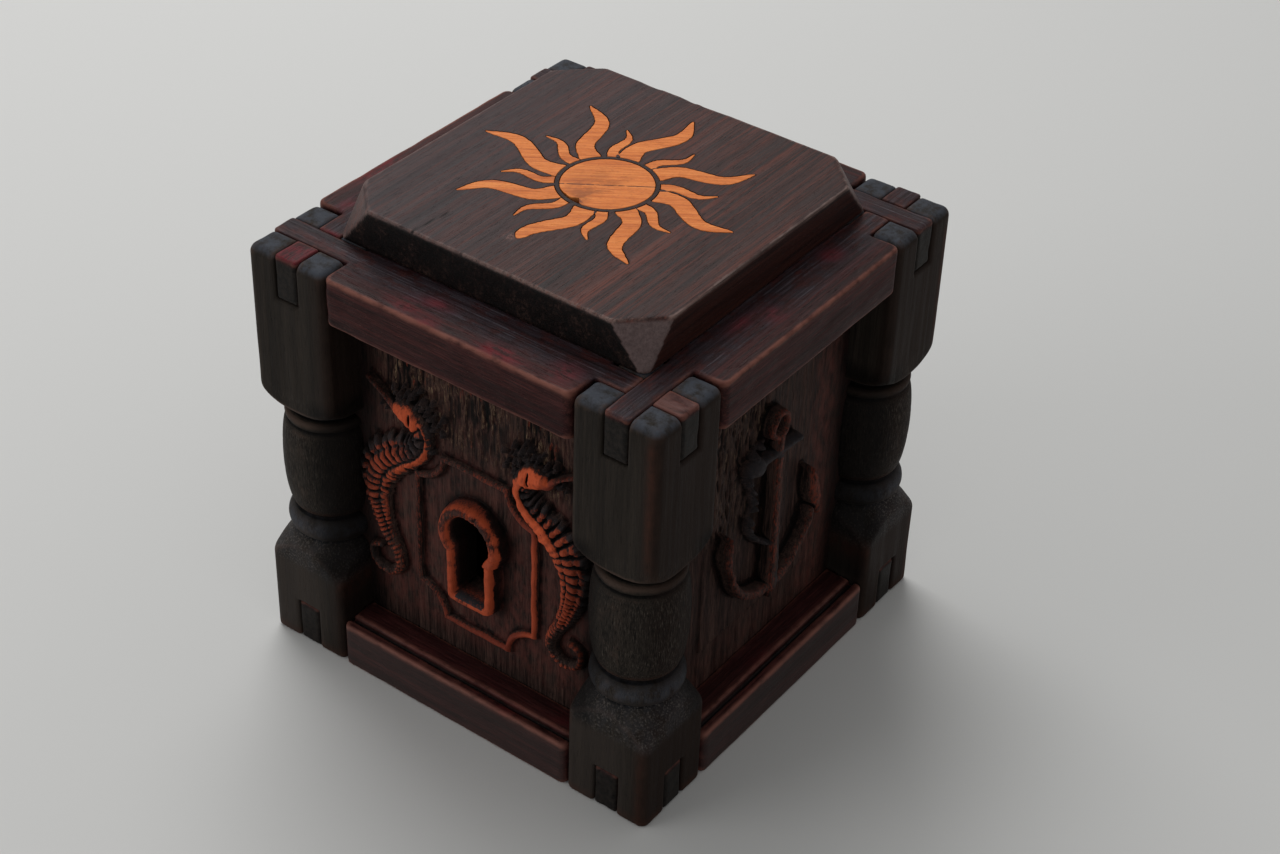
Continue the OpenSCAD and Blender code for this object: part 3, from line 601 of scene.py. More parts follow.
def post(turn):
    """One corner post, modelled at the left front corner and turned to its place."""
    seed = 40 + turn
    centre = -POST_MID

    def field(x, y, z):
        axes = (x, y, z)
        px, py = x - centre, y - centre
        wobble = waves(axes, (5, 5, 9), seed, 0.1) + waves(axes, (1.4, 1.4, 7), seed + 1, 0.05)
        flat = POST_R - POST_EDGE_R
        block = meeting(np.abs(px) - flat, np.abs(py) - flat) - POST_EDGE_R
        radius = np.interp(np.ravel(z), TURN_Z, TURN_R)[None, None, :]
        slope = np.clip(np.interp(np.ravel(z), TURN_Z, TURN_SLOPE), -2, 2)[None, None, :]
        lathe = (np.hypot(px, py) - radius) / np.sqrt(1 + slope ** 2)
        d = both(block + 0.02, lathe, 0.5)
        d = both(d, z - POST_H + 0.05, 2.1)
        d = both(d, -z, 0.9)
        arm = np.minimum(np.abs(px), np.abs(py)) - TONGUE_W / 2 - FIT
        for beyond in (POST_H - TONGUE_H - FIT - z, z - TONGUE_H - FIT):
            d = both(d, -np.maximum(arm, beyond), 0.8)
        return d + np.maximum(wobble, -0.02) * 0.8 + 0.03

    def masks(p):
        px, py, z = p[:, 0] - centre, p[:, 1] - centre, p[:, 2]
        inward = np.maximum(px, py)
        east = turned(p - (centre, centre, 0), turn)[:, 0]
        top = step(POST_H - 1.6, POST_H - 0.4, z)
        foot = 1 - step(FOOT_Z - 1, FOOT_Z + 1.5, z)
        blocks = 1 - window(z, FOOT_Z - 2, FOOT_Z + 1, HEAD_Z - 4, HEAD_Z)
        shoulder = window(z, FOOT_Z - 1, FOOT_Z + 2, BEAD_Z - 0.5, BEAD_Z + 2)
        bead = hill(z, BEAD_Z + 3.6, 1.7)
        barrel = window(z, BARREL_Z, BARREL_Z + 2, RING_Z - 2, RING_Z)
        neck = window(z, NECK_TOP, NECK_TOP + 2, HEAD_Z - 3, HEAD_Z)
        corner = hill(px, -9.3, 1.5) * hill(py, -8.2, 0.9) * (0.5 + 0.5 * step(HEAD_Z, HEAD_Z + 6, z))
        corner = corner * (1 - step(POST_H - 5, POST_H - 1, z))
        low = 0.5 * (1 - step(0.5, 3.5, z))
        inner = hill(z, FOOT_Z - 1, 3) * step(8, 10, inward)
        lip = 0.45 * hill(z, BARREL_Z + 1.4, 0.8)
        slot = np.minimum(np.abs(px), np.abs(py)) - TONGUE_W / 2
        depth = np.minimum(z, POST_H - z) - TONGUE_H
        # painted shade on the turned sides that face the panels and on the inner faces of the feet
        inner_shade = step(1, 7, inward) * window(z, FOOT_Z - 2, FOOT_Z + 3, HEAD_Z - 3, HEAD_Z + 1)
        shaded = 0.6 * step(8.8, 9.8, inward) * window(z, RAIL_H, RAIL_H + 2, FOOT_Z, FOOT_Z + 3)
        return {
            # painted bluish sheen on prong tops, beads and shoulders
            "cool": np.clip(top + 0.75 * bead + 0.25 * shoulder, 0, 1),
            "foot": foot * (1 - step(0, 8, east)),
            "speckle": 0.9 * shoulder,
            "dashes": np.clip(barrel + 0.5 * bead + 0.3 * neck, 0, 1),
            "warm": np.clip(0.9 * corner * blocks + low + 0.8 * inner + lip, 0, 1),
            # painted shade: darker, browner east-facing sides
            "brown": step(5, 9.6, east) * (1 - top),
            "dim": np.maximum(inner_shade, shaded),
            "seam": hill(np.maximum(slot, depth), 0, 1.2) * (1 - top),
        }

    node = "post_" + POSTS[turn]
    low, high = (-HALF_W, -HALF_W, 0), (-INNER, -INNER, POST_H)
    ob = carve("look_" + node, field, low, high, 0.33, (2, 0, 1), turn, seed, 0.6, masks)
    dress(ob, "box", "post_wood", node)


# ---------------------------------------------------------------- rails
# Middle and size of the red spots on the front top rail that the photograph shows
FRONT_SPOTS = [(-11.7, -46.9, 3.6, 2.2), (13.4, -47.6, 4.2, 1.7), (25, -45, 3, 3)]
GROOVE = (-47.8, -46.6, 1.2)  # sides and depth of the groove along a bottom rail
CUT_TOP = 20  # above every rail


def rail(side, top):
    """One rail, modelled as a bottom rail at the front. A top rail is the same upside down."""
    turn = SIDES.index(side)
    seed = 80 + turn + (10 if top else 0)

    def field(x, y, height):
        z = POST_H - height if top else height
        axes = (x, y, height)
        ends = INNER - FIT
        dent = waves(axes, (4, 3, 3), seed, 0.1) + waves(axes, (9, 1.1, 1.1), seed + 1, 0.045)
        plan = both(np.abs(x) - ends, -HALF_W - y, 1.7)
        body = both(both(plan, between(z, 0, RAIL_H), 0.7), y + INNER, 0.5)
        sides = both(np.abs(y + POST_MID) - TONGUE_W / 2, between(z, 0, TONGUE_H) + FIT / 2, 0.45)
        tongue = both(sides, np.abs(x) - HALF_W + 0.2, 0.9)
        d = np.maximum(either(body, tongue, 0.2), -z)
        lap = TONGUE_W / 2 + FIT
        half_up, panel_low = TONGUE_H / 2, (-ends, PANEL_FACE - FIT, RAIL_H - 2 - FIT)
        cuts = [
            ((-POST_MID - lap, -POST_MID - lap, half_up - FIT), (-POST_MID + lap, -POST_MID + lap, CUT_TOP)),
            ((POST_MID - lap, -POST_MID - lap, -9), (POST_MID + lap, -POST_MID + lap, half_up)),
            (panel_low, (ends, PANEL_FACE + PANEL_T + FIT, CUT_TOP)),
        ]
        for low, high in cuts:
            d = both(d, -box3(x, y, z, low, high), 0.15)
        if not top:
            near, far, deep = GROOVE
            d = both(d, -box3(x, y, z, (-ends, near, RAIL_H - deep), (ends, far, CUT_TOP)), 0.45)
        return d + np.maximum(dent, -0.03) + 0.03

    def masks(p):
        x, y, z = p.T
        up = (POST_H if top else RAIL_H) - z
        flat = 1 - (step(0.2, 0.9, up) if top else step(0.3, 1.6, up))
        body = 1 - step(INNER, INNER + 1, np.abs(x))
        lip = 0.9 * hill(y, -49.7, 0.42) * hill(up, 0.3, 0.6) * body
        under = 0.4 * hill(y, -50, 0.5) * hill(up, RAIL_H, 0.5) * body
        beads = (not top) * 0.7 * hill(y, -46.1, 0.45) * flat
        tip = step(35.5, 37.5, np.abs(x)) * flat * (x > 0)
        rng = np.random.default_rng(seed)
        places = FRONT_SPOTS if side == "front" else []
        ranges = ((-28, 28), (-49, -40), (2, 4.5), (1, 2.4))
        places = places + [[rng.uniform(*ends) for ends in ranges] for _ in range(3)]
        spots = sum(0.8 * hill(x, cx, rx) * hill(y, cy, ry) for cx, cy, rx, ry in places) * flat
        rubbed = step(-47.5, -43.5, y) if top else 0.8 * hill(y, -47.2, 0.8)
        return {
            "salmon": np.clip(lip + under + beads + 0.5 * tip * (side == "front"), 0, 1),
            "red": np.clip(spots + tip * (side == "left") if top else 0.3 * spots, 0, 1),
            "grey": flat * rubbed,
            "worn": (1 - step(-50, -49, y)) * (not top),
            "end": step(48.6, 49.5, np.abs(x)) * step(0.5, 1.6, up),
            "seam": step(45, 48.5, np.abs(x)) * step(0.6, 1.5, up),
        }

    node = ("top_rail_" if top else "bottom_rail_") + side
    low = (-HALF_W, -HALF_W, POST_H - RAIL_H if top else 0)
    high = (HALF_W, -INNER, POST_H if top else RAIL_H)
    ob = carve("look_" + node, field, low, high, 0.35, (0, 1, 2), turn, seed, 0.6, masks)
    dress(ob, "box", "rail_wood", node)


# ---------------------------------------------------------------- carved panels
DRAWING_CELL = 0.12
FIELD_HALF_W, FIELD_HALF_H = 20, 28.4


def smooth(p, n=5):
    """A smooth curve through every row of p."""
    p = np.array(p, float)
    out = []
    for i in range(len(p) - 1):
        a, b, c, d = p[max(i - 1, 0)], p[i], p[i + 1], p[min(i + 2, len(p) - 1)]
        for t in np.arange(n) / n:
            bend = (2 * a - 5 * b + 4 * c - d) * t ** 2 + (3 * b - a - 3 * c + d) * t ** 3
            out.append(0.5 * (2 * b + (c - a) * t + bend))
    return np.array(out + [p[-1]])


def along(u, v, line):
    """For each point: distance from the line over the line's half width there, distance along
    it in mm, and distance to its side."""
    best = np.full(np.broadcast(u, v).shape, 1e9)
    length = np.zeros_like(best)
    side = np.zeros_like(best)
    gone = 0.0
    for (ax, ay, aw), (bx, by, bw) in zip(line[:-1], line[1:]):
        dx, dy = bx - ax, by - ay
        size = math.hypot(dx, dy)
        t = np.clip(((u - ax) * dx + (v - ay) * dy) / size ** 2, 0, 1)
        across = ((u - ax) * dy - (v - ay) * dx) / size
        share = np.hypot(u - ax - t * dx, v - ay - t * dy) / ((aw + (bw - aw) * t) / 2)
        closer = share < best
        best = np.where(closer, share, best)
        length = np.where(closer, gone + t * size, length)
        side = np.where(closer, across, side)
        gone += size
    return best, length, side


def dome(share, height, sharpness=0.5):
    return height * np.clip(1 - share ** 2, 0, 1) ** sharpness


def plateau(share, height, flatness=4):
    return height * np.clip(1 - np.abs(share) ** flatness, 0, 1) ** 0.5


def sawn(axes, seed, where):
    """Rough vertical saw marks where the surface was left torn: height, pale ridges, dark pits."""
    marks = 0.6 * waves(axes, (0.5, 5), seed) + 0.45 * waves(axes, (0.4, 1.6), seed + 1)
    marks = marks + 0.35 * waves(axes, (1.8, 8), seed + 2)
    ridges = where * np.clip(marks * 2.6, 0, 1)
    pits = where * np.clip(-marks * 3.2 - 0.3, 0, 1)
    return 0.4 * ridges - 0.6 * pits, ridges, pits


def relief(node, turn, seed, draw, through=None, cell=0.24):
    """A panel with its carving. draw gives the height and the paint masks over the face, and
    through is the signed distance to a hole."""
    us = np.arange(-34, 34, DRAWING_CELL, dtype=np.float32)
    vs = np.arange(6, 93, DRAWING_CELL, dtype=np.float32)
    heights, paints = draw(us[:, None], vs[None, :], (us, vs))
    dents = waves((us, vs), (0.7, 7), seed, 0.05) + waves((us, vs), (0.4, 2.2), seed + 1, 0.03)
    heights = (heights + dents).astype(np.float32)
    slope = np.hypot(*np.gradient(heights, DRAWING_CELL))
    easing = 1 / np.sqrt(1 + np.clip(slope, 0, 3) ** 2)

    def on_face(grid, x, z):
        at = np.stack([x, z], axis=1).astype(float)
        return sample(grid, (at - (us[0], vs[0])) / DRAWING_CELL)

    def field(x, y, z):
        fx, fz = np.broadcast_arrays(x[:, :, 0], z[:, 0, :])
        h, e = (on_face(grid, fx.ravel(), fz.ravel()).reshape(fx.shape)[:, None, :]
                for grid in (heights, easing))
        into_rail = between(z, RAIL_H, POST_H - RAIL_H)
        d = np.maximum((PANEL_FACE - h - y) * e, y - PANEL_FACE - PANEL_T)
        d = np.maximum(np.maximum(d, into_rail - 1.9), np.abs(x) - PANEL_HALF)
        d = np.maximum(d, np.minimum(np.abs(x) - INNER + 0.15, into_rail + 0.1))
        if through:
            d = both(d, -np.broadcast_to(through(x, z), d.shape), 0.35)
        return d

    def masks(p):
        x, deep, z = p[:, 0], p[:, 1] - PANEL_FACE, p[:, 2]
        found = {}
        for key, paint in paints.items():
            paint = np.broadcast_to(np.asarray(paint, np.float32), heights.shape)
            found[key] = on_face(paint, x, z) * (1 - step(0.2, 1.0, deep))
        if through:
            # painted shade inside the keyhole's bore
            bore = (through(x, z) < 0.5) * step(-3.6, -1.4, deep) * step(KEY_LOW + 0.3, KEY_LOW + 1.2, z)
            # painted grey highlight on the keyhole's sill
            sill = (np.abs(z - KEY_LOW) < 0.7) * (np.abs(x) < KEY_W / 2 - 0.2) * step(-1.2, -2.6, deep)
            found["pit"] = np.maximum(found["pit"], 0.85 * bore)
            found["slate"] = np.maximum(found["slate"], sill)
            found["orange"] = found["orange"] * (1 - 0.7 * sill) * (1 - bore)
        # painted shade towards the posts
        found["dim"] = step(23, 29.5, np.abs(x))
        return found

    low = (-PANEL_HALF, PANEL_FACE - float(heights.max()), RAIL_H - 2)
    high = (PANEL_HALF, PANEL_FACE + PANEL_T, POST_H - RAIL_H + 2)
    ob = carve("look_" + node, field, low, high, cell, (2, 0, 1), turn, seed, 0.6, masks)
    dress(ob, "box", "panel_wood", node)


def keyhole(x, z):
    """Signed distance to the keyhole's outline."""
    return np.minimum(np.hypot(x, z - KEY_HEAD) - KEY_R, box2(x, z, KEY_W / 2, KEY_LOW, KEY_HEAD))


def cartouche(x, z):
    """Signed distance to a rectangle with scooped corners around the keyhole."""
    low, high, half, scoop = KEY_LOW - 11.1, KEY_HEAD + KEY_R + 11.1, 15.8, 7.0
    qx, qz = np.abs(x) - half, between(z, low, high)
    return np.maximum(box2(x, z, half, low, high), scoop - np.hypot(qx, qz))


# Route of each form from its root to its tip: place across, height and width
HORSE_BODY = [
    (18.4, 68.6, 4.0), (15.8, 67.6, 6.6), (13.0, 63.8, 4.8), (14.8, 59.8, 6.4), (19.4, 56.6, 8.6),
    (24.0, 52.4, 9.4), (25.8, 47, 7.8), (25.2, 41, 5.2), (23.2, 35, 3.8), (20.8, 30.4, 3.3),
    (20.4, 26.6, 2.8), (23.2, 23.8, 2.5), (27, 25, 2.2), (27.6, 28.6, 1.9), (25, 30, 1.6)]
HORSE_SNOUT = [(15.4, 67.0, 6.2), (18.6, 67.6, 4.6), (20.8, 69, 2.2), (23, 70.6, 1.2), (26.6, 72.8, 1.3)]
HORSE_FIN = [(12.8, 57.6, 1.0), (13.6, 59.8, 3.4), (16.6, 60.2, 5)]
HORSE_HEAD = (15.2, 67)
BELLY_PITCH, TAIL_PITCH = 2.0, 1.15  # length of one ring of its body


def horse_crest(u, z, axes, seed):
    """Cones that stand around the head and down the neck, and a few under the snout."""
    rng = np.random.default_rng(seed)
    cones = []
    for reach, count in ((3.9, 8), (5.2, 10), (6.5, 9), (7.6, 6)):
        for a in np.linspace(-1.7, 0.9, count):
            cx = HORSE_HEAD[0] + reach * math.sin(a) + rng.uniform(-0.5, 0.5)
            cz = HORSE_HEAD[1] + reach * 0.92 * math.cos(a) + rng.uniform(-0.5, 0.5)
            cones.append((cx, cz, rng.uniform(0.55, 1.05)))
    cones += [(11.0 + rng.uniform(-0.5, 0.5), v, rng.uniform(0.6, 1.0)) for v in (66, 64.8, 63.4, 62, 60.6)]
    cones += [(20.8, 72.2, 0.8), (21.6, 67.4, 1.0), (22.8, 68.8, 0.8), (23.4, 67.4, 0.7)]
    height = 0
    for cx, cz, r in cones:
        height = np.maximum(height, 3.0 * np.clip(1.15 - np.hypot(u - cx, z - cz) / r, 0, 1))
    return height * (0.75 + 0.25 * waves(axes, (1.5, 1.5), seed + 3))


def sea_horse(u, z, axes, seed, narrow):
    """Height of a sea horse that looks outward, with its paint masks. narrow is how far the
    painted ridge along its inner side is drawn in, as a share of its half width."""
    body = smooth(HORSE_BODY)
    share, s, across = along(u, z, body)
    stations = np.concatenate([[0], np.cumsum(np.hypot(*np.diff(body[:, :2], axis=0).T))])
    c = np.clip(across / (np.interp(s, stations, body[:, 2]) / 2), -1.3, 1.3)  # 1 towards the keyhole
    belly_rings, tail_rings = 30 / BELLY_PITCH, 36 / TAIL_PITCH
    count = np.interp(s, [0, 4, 34, 70], [0, 2, 2 + belly_rings, 2 + belly_rings + tail_rings])
    count = count + waves(axes, (3, 3), seed + 5, 0.12)
    ring = np.abs(np.sin(np.pi * (count + 0.18 * c)))
    belly = window(s, 4, 7, 40, 46)
    ribbed = window(s, 4, 7, 56, 62)
    border = np.maximum(-0.15 + 0.49 * step(16, 30, s), narrow - 0.15)
    ridge = step(-0.08, 0.08, c - border) * (1 - step(20, 27, s))
    outer, inner = step(0.0, -0.9, c), step(0.3, 1, c)
    spike = 1 + belly * (outer * (0.34 * ring ** 2 - 0.12) + 0.1 * ring * inner)
    rough = 1 + 0.05 * waves(axes, (1.1, 1.1), seed)
    h = dome(share / spike / rough, 3.4 - 1.2 * step(34, 60, s))
    depth = 0.22 + 0.34 * step(0.5, -0.1, c) * belly
    h = h * (1 - ribbed * (1 - 0.9 * ridge) * (1 - ring) ** 1.5 * depth)
    h = h + waves(axes, (0.8, 0.8), seed + 6, 0.22) * (h > 1)
    rows = (hill(c, border, 0.1) + 0.8 * hill(c, -0.45, 0.1)) * belly
    h = h - 0.7 * rows * (h > 0.8)
    snout = dome(along(u, z, smooth(HORSE_SNOUT))[0], 2.6, 0.6)
    fin_share, fin_s, _ = along(u, z, smooth(HORSE_FIN))
    fin = dome(fin_share, 2.2, 0.6) * (0.7 + 0.3 * np.abs(np.sin(np.pi * fin_s / 0.9)))
    crest = horse_crest(u, z, axes, seed)
    eye = 1.1 * hill(u, 15.2, 0.25) * hill(z, 67.2, 1.5)
    jaw = 2.6 * hill(u, 17.6, 2.3) * hill(z, 64.0, 1.0)
    animal = np.maximum.reduce([h, snout, fin, crest])
    animal = np.maximum(animal - (eye + jaw) * (animal > 0.2), 0)

    flecks = step(0.3, 0.8, waves(axes, (0.9, 1.6), seed + 9))
    face = step(1.5, 3, h) * (1 - step(5, 9, s)) * (1 - 0.5 * flecks)
    stripe = step(0.8, 2.4, h) * np.maximum(ridge, step(0.0, 0.3, c - border) * step(0.2, 0.6, ring)) * belly
    knobs = step(1.0, 2.4, h) * step(-1.0, -0.5, c) * step(0.35, 0.75, ring) * (0.15 + 0.85 * step(9, 18, s))
    tail = step(0.6, 1.8, h) * step(34, 46, s) * (0.45 + 0.4 * ring) * step(-1, 0.2, c)
    muzzle = step(0.8, 2.2, snout) * (1 - 0.5 * step(19, 22, u))
    orange = np.maximum.reduce([0.95 * face, 0.9 * stripe, 0.95 * knobs * belly, 0.7 * tail, 0.85 * muzzle,
                                0.35 * step(1.2, 2.2, fin)])
    dark = step(0.3, 1.2, crest) * (1 - step(2.0, 3.0, h))
    orange = orange * (1 - 0.85 * dark) * (1 - step(0.2, 0.7, eye)) * (1 - step(0.3, 1, jaw))
    orange = orange * (1 - 0.5 * rows) * (1 - 0.4 * step(0.35, 0.8, waves(axes, (1.6, 2.2), seed + 8)))
    hot = np.maximum(face, 0.75 * stripe * (1 - step(14, 30, s)) + 0.38 * knobs)
    slate = np.maximum(0.4 * dark, 0.6 * step(0.8, 2.2, h) * step(0.1, -0.1, c - border) * belly * ring)
    return animal, orange, hot, slate


KEY_CUTS = (-6, 5, 19, 62, 88, 104)  # knife marks across the moulding, in degrees from the top


def key_moulding(x, z, axes):
    """The moulding around the keyhole, a wide ring around the head and a narrower border along
    the foot: height, orange, hot, and painted shadow on its right walls and around its base."""
    key = keyhole(x, z)
    foot = box2(x, z, KEY_W / 2, KEY_LOW, KEY_HEAD)
    dents = 1 + 0.06 * waves(axes, (1.3, 1.3), 18)
    ring = plateau((np.hypot(x, z - KEY_HEAD) - KEY_R - 1.5) / (1.65 * dents), 4.3, 2.6)
    ring = ring * step(KEY_HEAD - 5.0, KEY_HEAD - 4.2, z) * step(-0.2, 0.15, foot)
    border = plateau((foot - 1.15) / (1.25 * dents), 3.9, 3) * (1 - step(KEY_HEAD - 4.8, KEY_HEAD - 3.6, z))
    angle = np.degrees(np.arctan2(x, z - KEY_HEAD))
    cuts = sum(0.8 * hill(angle, a, 1.6) for a in KEY_CUTS)
    h = np.maximum(ring - cuts * (ring > 1) * 0.55, border)
    h = h + waves(axes, (1.1, 1.1), 19, 0.12) * (h > 1)
    slope_x, slope_z = np.gradient(h, *axes)
    inner = np.clip(step(-0.1, 0.4, key) + 0.5 * (1 - step(32, 40, z)), 0, 1)
    upper = np.clip(-slope_z - 0.2, 0, 1.2) / 1.2
    patches = 0.8 + 0.3 * waves(axes, (2.5, 2.5), 20) + 0.25 * waves(axes, (0.9, 0.9), 22)
    rim = window(h, 1.6, 3.0, 3.7, 4.15) * patches
    crown = step(1.8, 3.4, h)
    face = crown * (0.82 - 0.24 * step(42, 47, z)) * patches
    worn = np.maximum(face + 0.6 * rim, 0.6 * upper * step(0.3, 1.2, h))
    # fall and shade are painted shadow: on the outer walls that fall to the right, and around the base
    fall = step(2.0, 4.5, -slope_x) * (key > 2.2) * (h > 0.1)
    shade = hill(np.maximum(key - 3.2, 0), 0, 1.2) * (key > 2.6) * (h < 1)
    dark = np.maximum(0.6 * shade, 0.8 * fall * (1 - step(3.2, 4.2, h)))
    return h, np.clip(worn, 0, 1) * inner * (1 - 0.9 * fall), 0.42 * crown + 0.3 * rim, dark


def front_drawing(x, z, axes):
    """The front panel: a scooped cartouche, the keyhole's moulding and two sea horses."""
    u = np.abs(x)
    torn = step(61, 67, z) * (1 - step(20, 28, u)) * np.clip(0.9 + 0.6 * waves(axes, (6, 6), 14), 0, 1)
    h, ridges, pits = sawn(axes, 11, torn + 0.12)
    h = h + waves(axes, (5, 7), 15, 0.12)
    edge = np.abs(cartouche(x, z) + 0.8 + 0.12 * waves(axes, (2.2, 2.2), 16))
    line = dome(edge / (0.95 + 0.12 * waves(axes, (3, 3), 17)), 1.6, 0.6)
    share = 0.45 + 0.4 * step(-20, 16, x) * (1 - step(50, 58, z)) + 0.2 * (1 - step(18, 26, z))
    orange = step(0.4, 1.5, line) * share
    hot = 0.45 * step(0.6, 1.5, line) * step(10, 15, x) * (1 - step(48, 54, z))
    # dark is the moulding's painted shadow; it goes into the pit mask
    moulding, key_orange, key_hot, dark = key_moulding(x, z, axes)
    animal, body, glow, slate = sea_horse(u + 0.5 * (x > 0), z, axes, 41, 0.6 * (x < 0))
    clear = 1 - step(0.2, 0.8, animal)
    orange = np.maximum(np.maximum(orange, key_orange) * clear, body)
    hot = np.maximum(np.maximum(hot, key_hot) * clear, glow)
    bare = (1 - step(0.1, 0.4, animal)) * (1 - step(0.3, 0.8, line))
    spots = torn * step(0.72, 0.95, waves(axes, (0.9, 3), 13) + 0.15)
    orange = np.maximum(orange, 0.6 * spots * bare)
    far = np.where(x < 0, 0.78, 1.0)
    rosy = (0.6 + 0.4 * (1 - step(30, 60, z))) * (1 - 0.3 * torn) * step(10, 20, z)
    return np.maximum.reduce([h, line, moulding, animal]), {
        "orange": orange * far, "hot": hot * far, "slate": slate, "ash": ridges * torn * bare,
        "pit": np.maximum(pits * bare, dark), "rosy": rosy * bare, "torn": torn * bare}


# Routes of the anchor's parts, as above
ANCHOR_ROPE = [
    (-2.6, 65.6, 1.8), (-6.4, 64.6, 2.0), (-8.4, 60.6, 2.2), (-6.4, 56.2, 2.0), (-5.2, 51.2, 2.2),
    (-6.8, 46.6, 1.8), (-4.2, 42.2, 1.8), (-1, 39.4, 1.6)]
ANCHOR_SHANK = [(0, 66.4, 2.2), (0.3, 56, 2.5), (0.6, 44, 2.8), (0.9, 34, 3.6), (0.9, 27.6, 4.2)]
ANCHOR_STOCK = [(-9.2, 62.0, 1.9), (0, 62.4, 2.0), (8.4, 61.4, 1.4)]
ANCHOR_POINT = [(0.9, 28, 4.6), (0.8, 24.4, 1.4)]
ANCHOR_ARMS = [
    (14.9 * math.sin(a) + 0.4, 42.8 - 15.2 * math.cos(a), 3.0 - 0.7 * abs(a))
    for a in np.linspace(-1.35, 1.28, 27)]
ANCHOR_FLUKES = [
    [(-14.6, 40.0, 1.6), (-15.6, 45.0, 3.0), (-15.6, 50.0, 1.0)],
    [(16.9, 37.0, 1.6), (15.85, 43.5, 4.6), (13.8, 50.0, 1.0)]]


def field_edge(u, z):
    """Signed distance to the raised field of a side panel."""
    return box2(u, z, FIELD_HALF_W, POST_H / 2 - FIELD_HALF_H, POST_H / 2 + FIELD_HALF_H)


def raised_field(edge, rough):
    return 0.8 * (1 - step(-0.6, 0.5, edge)) + 0.7 * rough - 0.2


def anchor_drawing(x, z, axes):
    """The right panel: an anchor with a rope on a raised field."""
    torn = np.clip(step(40, 62, z) * (1 - step(-6, 4, x)) + 0.15, 0, 1)
    rough, ridges, pits = sawn(axes, 21, torn)
    edge = field_edge(x, z)
    ring = plateau((np.hypot(x, z - 69.2) - 2.75) / 0.85, 4.3, 3)
    shank = plateau(along(x, z, ANCHOR_SHANK)[0], 4.5, 5)
    stock = plateau(along(x, z, ANCHOR_STOCK)[0], 4.1, 3)
    knob = plateau(np.hypot((x + 7.0) * 0.7, z - 62.2) / 2.3, 4.5, 3)
    stock = np.maximum.reduce([stock, knob, dome(np.hypot(x - 8.2, z - 61.2) / 1.1, 4.1)])
    arms = plateau(along(x, z, ANCHOR_ARMS)[0], 4.3, 4)
    arms = np.maximum(arms, plateau(along(x, z, ANCHOR_POINT)[0], 4.2, 3))
    flukes = np.maximum(*(plateau(along(x, z, smooth(route, 8))[0], 4.4, 2.5) for route in ANCHOR_FLUKES))
    share, s, _ = along(x, z, smooth(ANCHOR_ROPE))
    strands = 0.5 + 0.5 * np.abs(np.sin(np.pi * s / 2.6))
    rope = dome(share, 3.2) * strands * (1 + waves(axes, (1.2, 1.2), 24, 0.4))
    metal = np.maximum.reduce([ring, shank, stock, arms, flukes])
    metal = np.where(metal > 0.3, metal + waves(axes, (1.4, 1.4), 23, 0.25), metal)
    solid = np.maximum(metal, rope)
    bare = 1 - step(0.1, 0.5, solid)
    left = step(1.6, 0.2, x - 0.5)
    fluke_share = 0.45 * step(0, 6, x) + 0.36 * step(-12, -14, x)
    orange = np.maximum.reduce([
        0.36 * step(2.6, 4, shank) * left, 0.34 * step(2.4, 3.8, arms), 0.4 * step(2.4, 3.8, ring),
        step(2, 3.8, flukes) * fluke_share, 0.3 * hill(edge, 0, 0.5) * (1 - step(20, 45, z))])
    dust = 0.5 * hill(x, 5, 3.4) * hill(z, 40, 9) * (solid < 0.5)
    slate = np.maximum.reduce([0.8 * step(1.5, 3.4, stock), 0.6 * step(0.6, 2.4, rope),
                               0.5 * step(2, 3.8, shank) * (1 - left), dust])
    # painted shadow to the left of the shank
    shade = hill(x, -3.4, 1.3) * window(z, 42, 48, 56, 60)
    rosy = np.clip(0.15 + 0.85 * step(15, 20, x) + 0.3 * (1 - step(12, 24, z)), 0, 1)
    return np.maximum(raised_field(edge, rough), solid), {
        "orange": orange * (1 - 0.6 * slate), "slate": slate, "ash": 0.3 * ridges * bare,
        "pit": 0.8 * np.maximum(pits, shade) * bare, "rosy": rosy * bare, "torn": 0.4 * torn * bare}


def plain_drawing(seed):
    """A side panel that the photograph doesn't show: a raised field with saw marks."""
    def draw(x, z, axes):
        torn = np.clip(step(50, 75, z) * (0.6 + 0.6 * waves(axes, (12, 12), seed + 5)) + 0.12, 0, 1)
        rough, ridges, pits = sawn(axes, seed, torn)
        edge = field_edge(x, z)
        worn = np.clip(waves(axes, (6, 6), seed + 1) + 0.3, 0, 1)
        return raised_field(edge, rough), {
            "orange": 0.4 * hill(edge, 0.1, 0.5) * (0.3 + 0.7 * worn), "ash": 0.6 * ridges,
            "pit": 0.8 * pits, "rosy": 0.4 + 0.6 * (1 - step(12, 40, z)), "torn": 0.6 * torn}
    return draw


# ---------------------------------------------------------------- lid
def lid_field(x, y, z):
    """The lid board without its inlay."""
    low, high = POST_H, POST_H + LID_T
    d = soft_box(x, y, z, (-LID_HALF, -LID_HALF, low), (LID_HALF, LID_HALF, high), 0.5)
    base_out = LID_HALF * math.sqrt(2) - CLIP_BASE / math.sqrt(2)
    run = (CLIP_TOP - CLIP_BASE) / math.sqrt(2) / LID_T
    lean = 1 / math.hypot(1, run)
    for sx in (-1, 1):
        for sy in (-1, 1):
            out = (sx * x + sy * y) / math.sqrt(2) - base_out
            d = both(d, (out + (z - low) * run) * lean, 0.45)
    dent = waves((x, y, z), (5, 5, 3), 61, 0.07) + waves((x, y, z), (1.3, 12, 1.3), 62, 0.035)
    return d + np.maximum(dent, -0.02) + 0.02


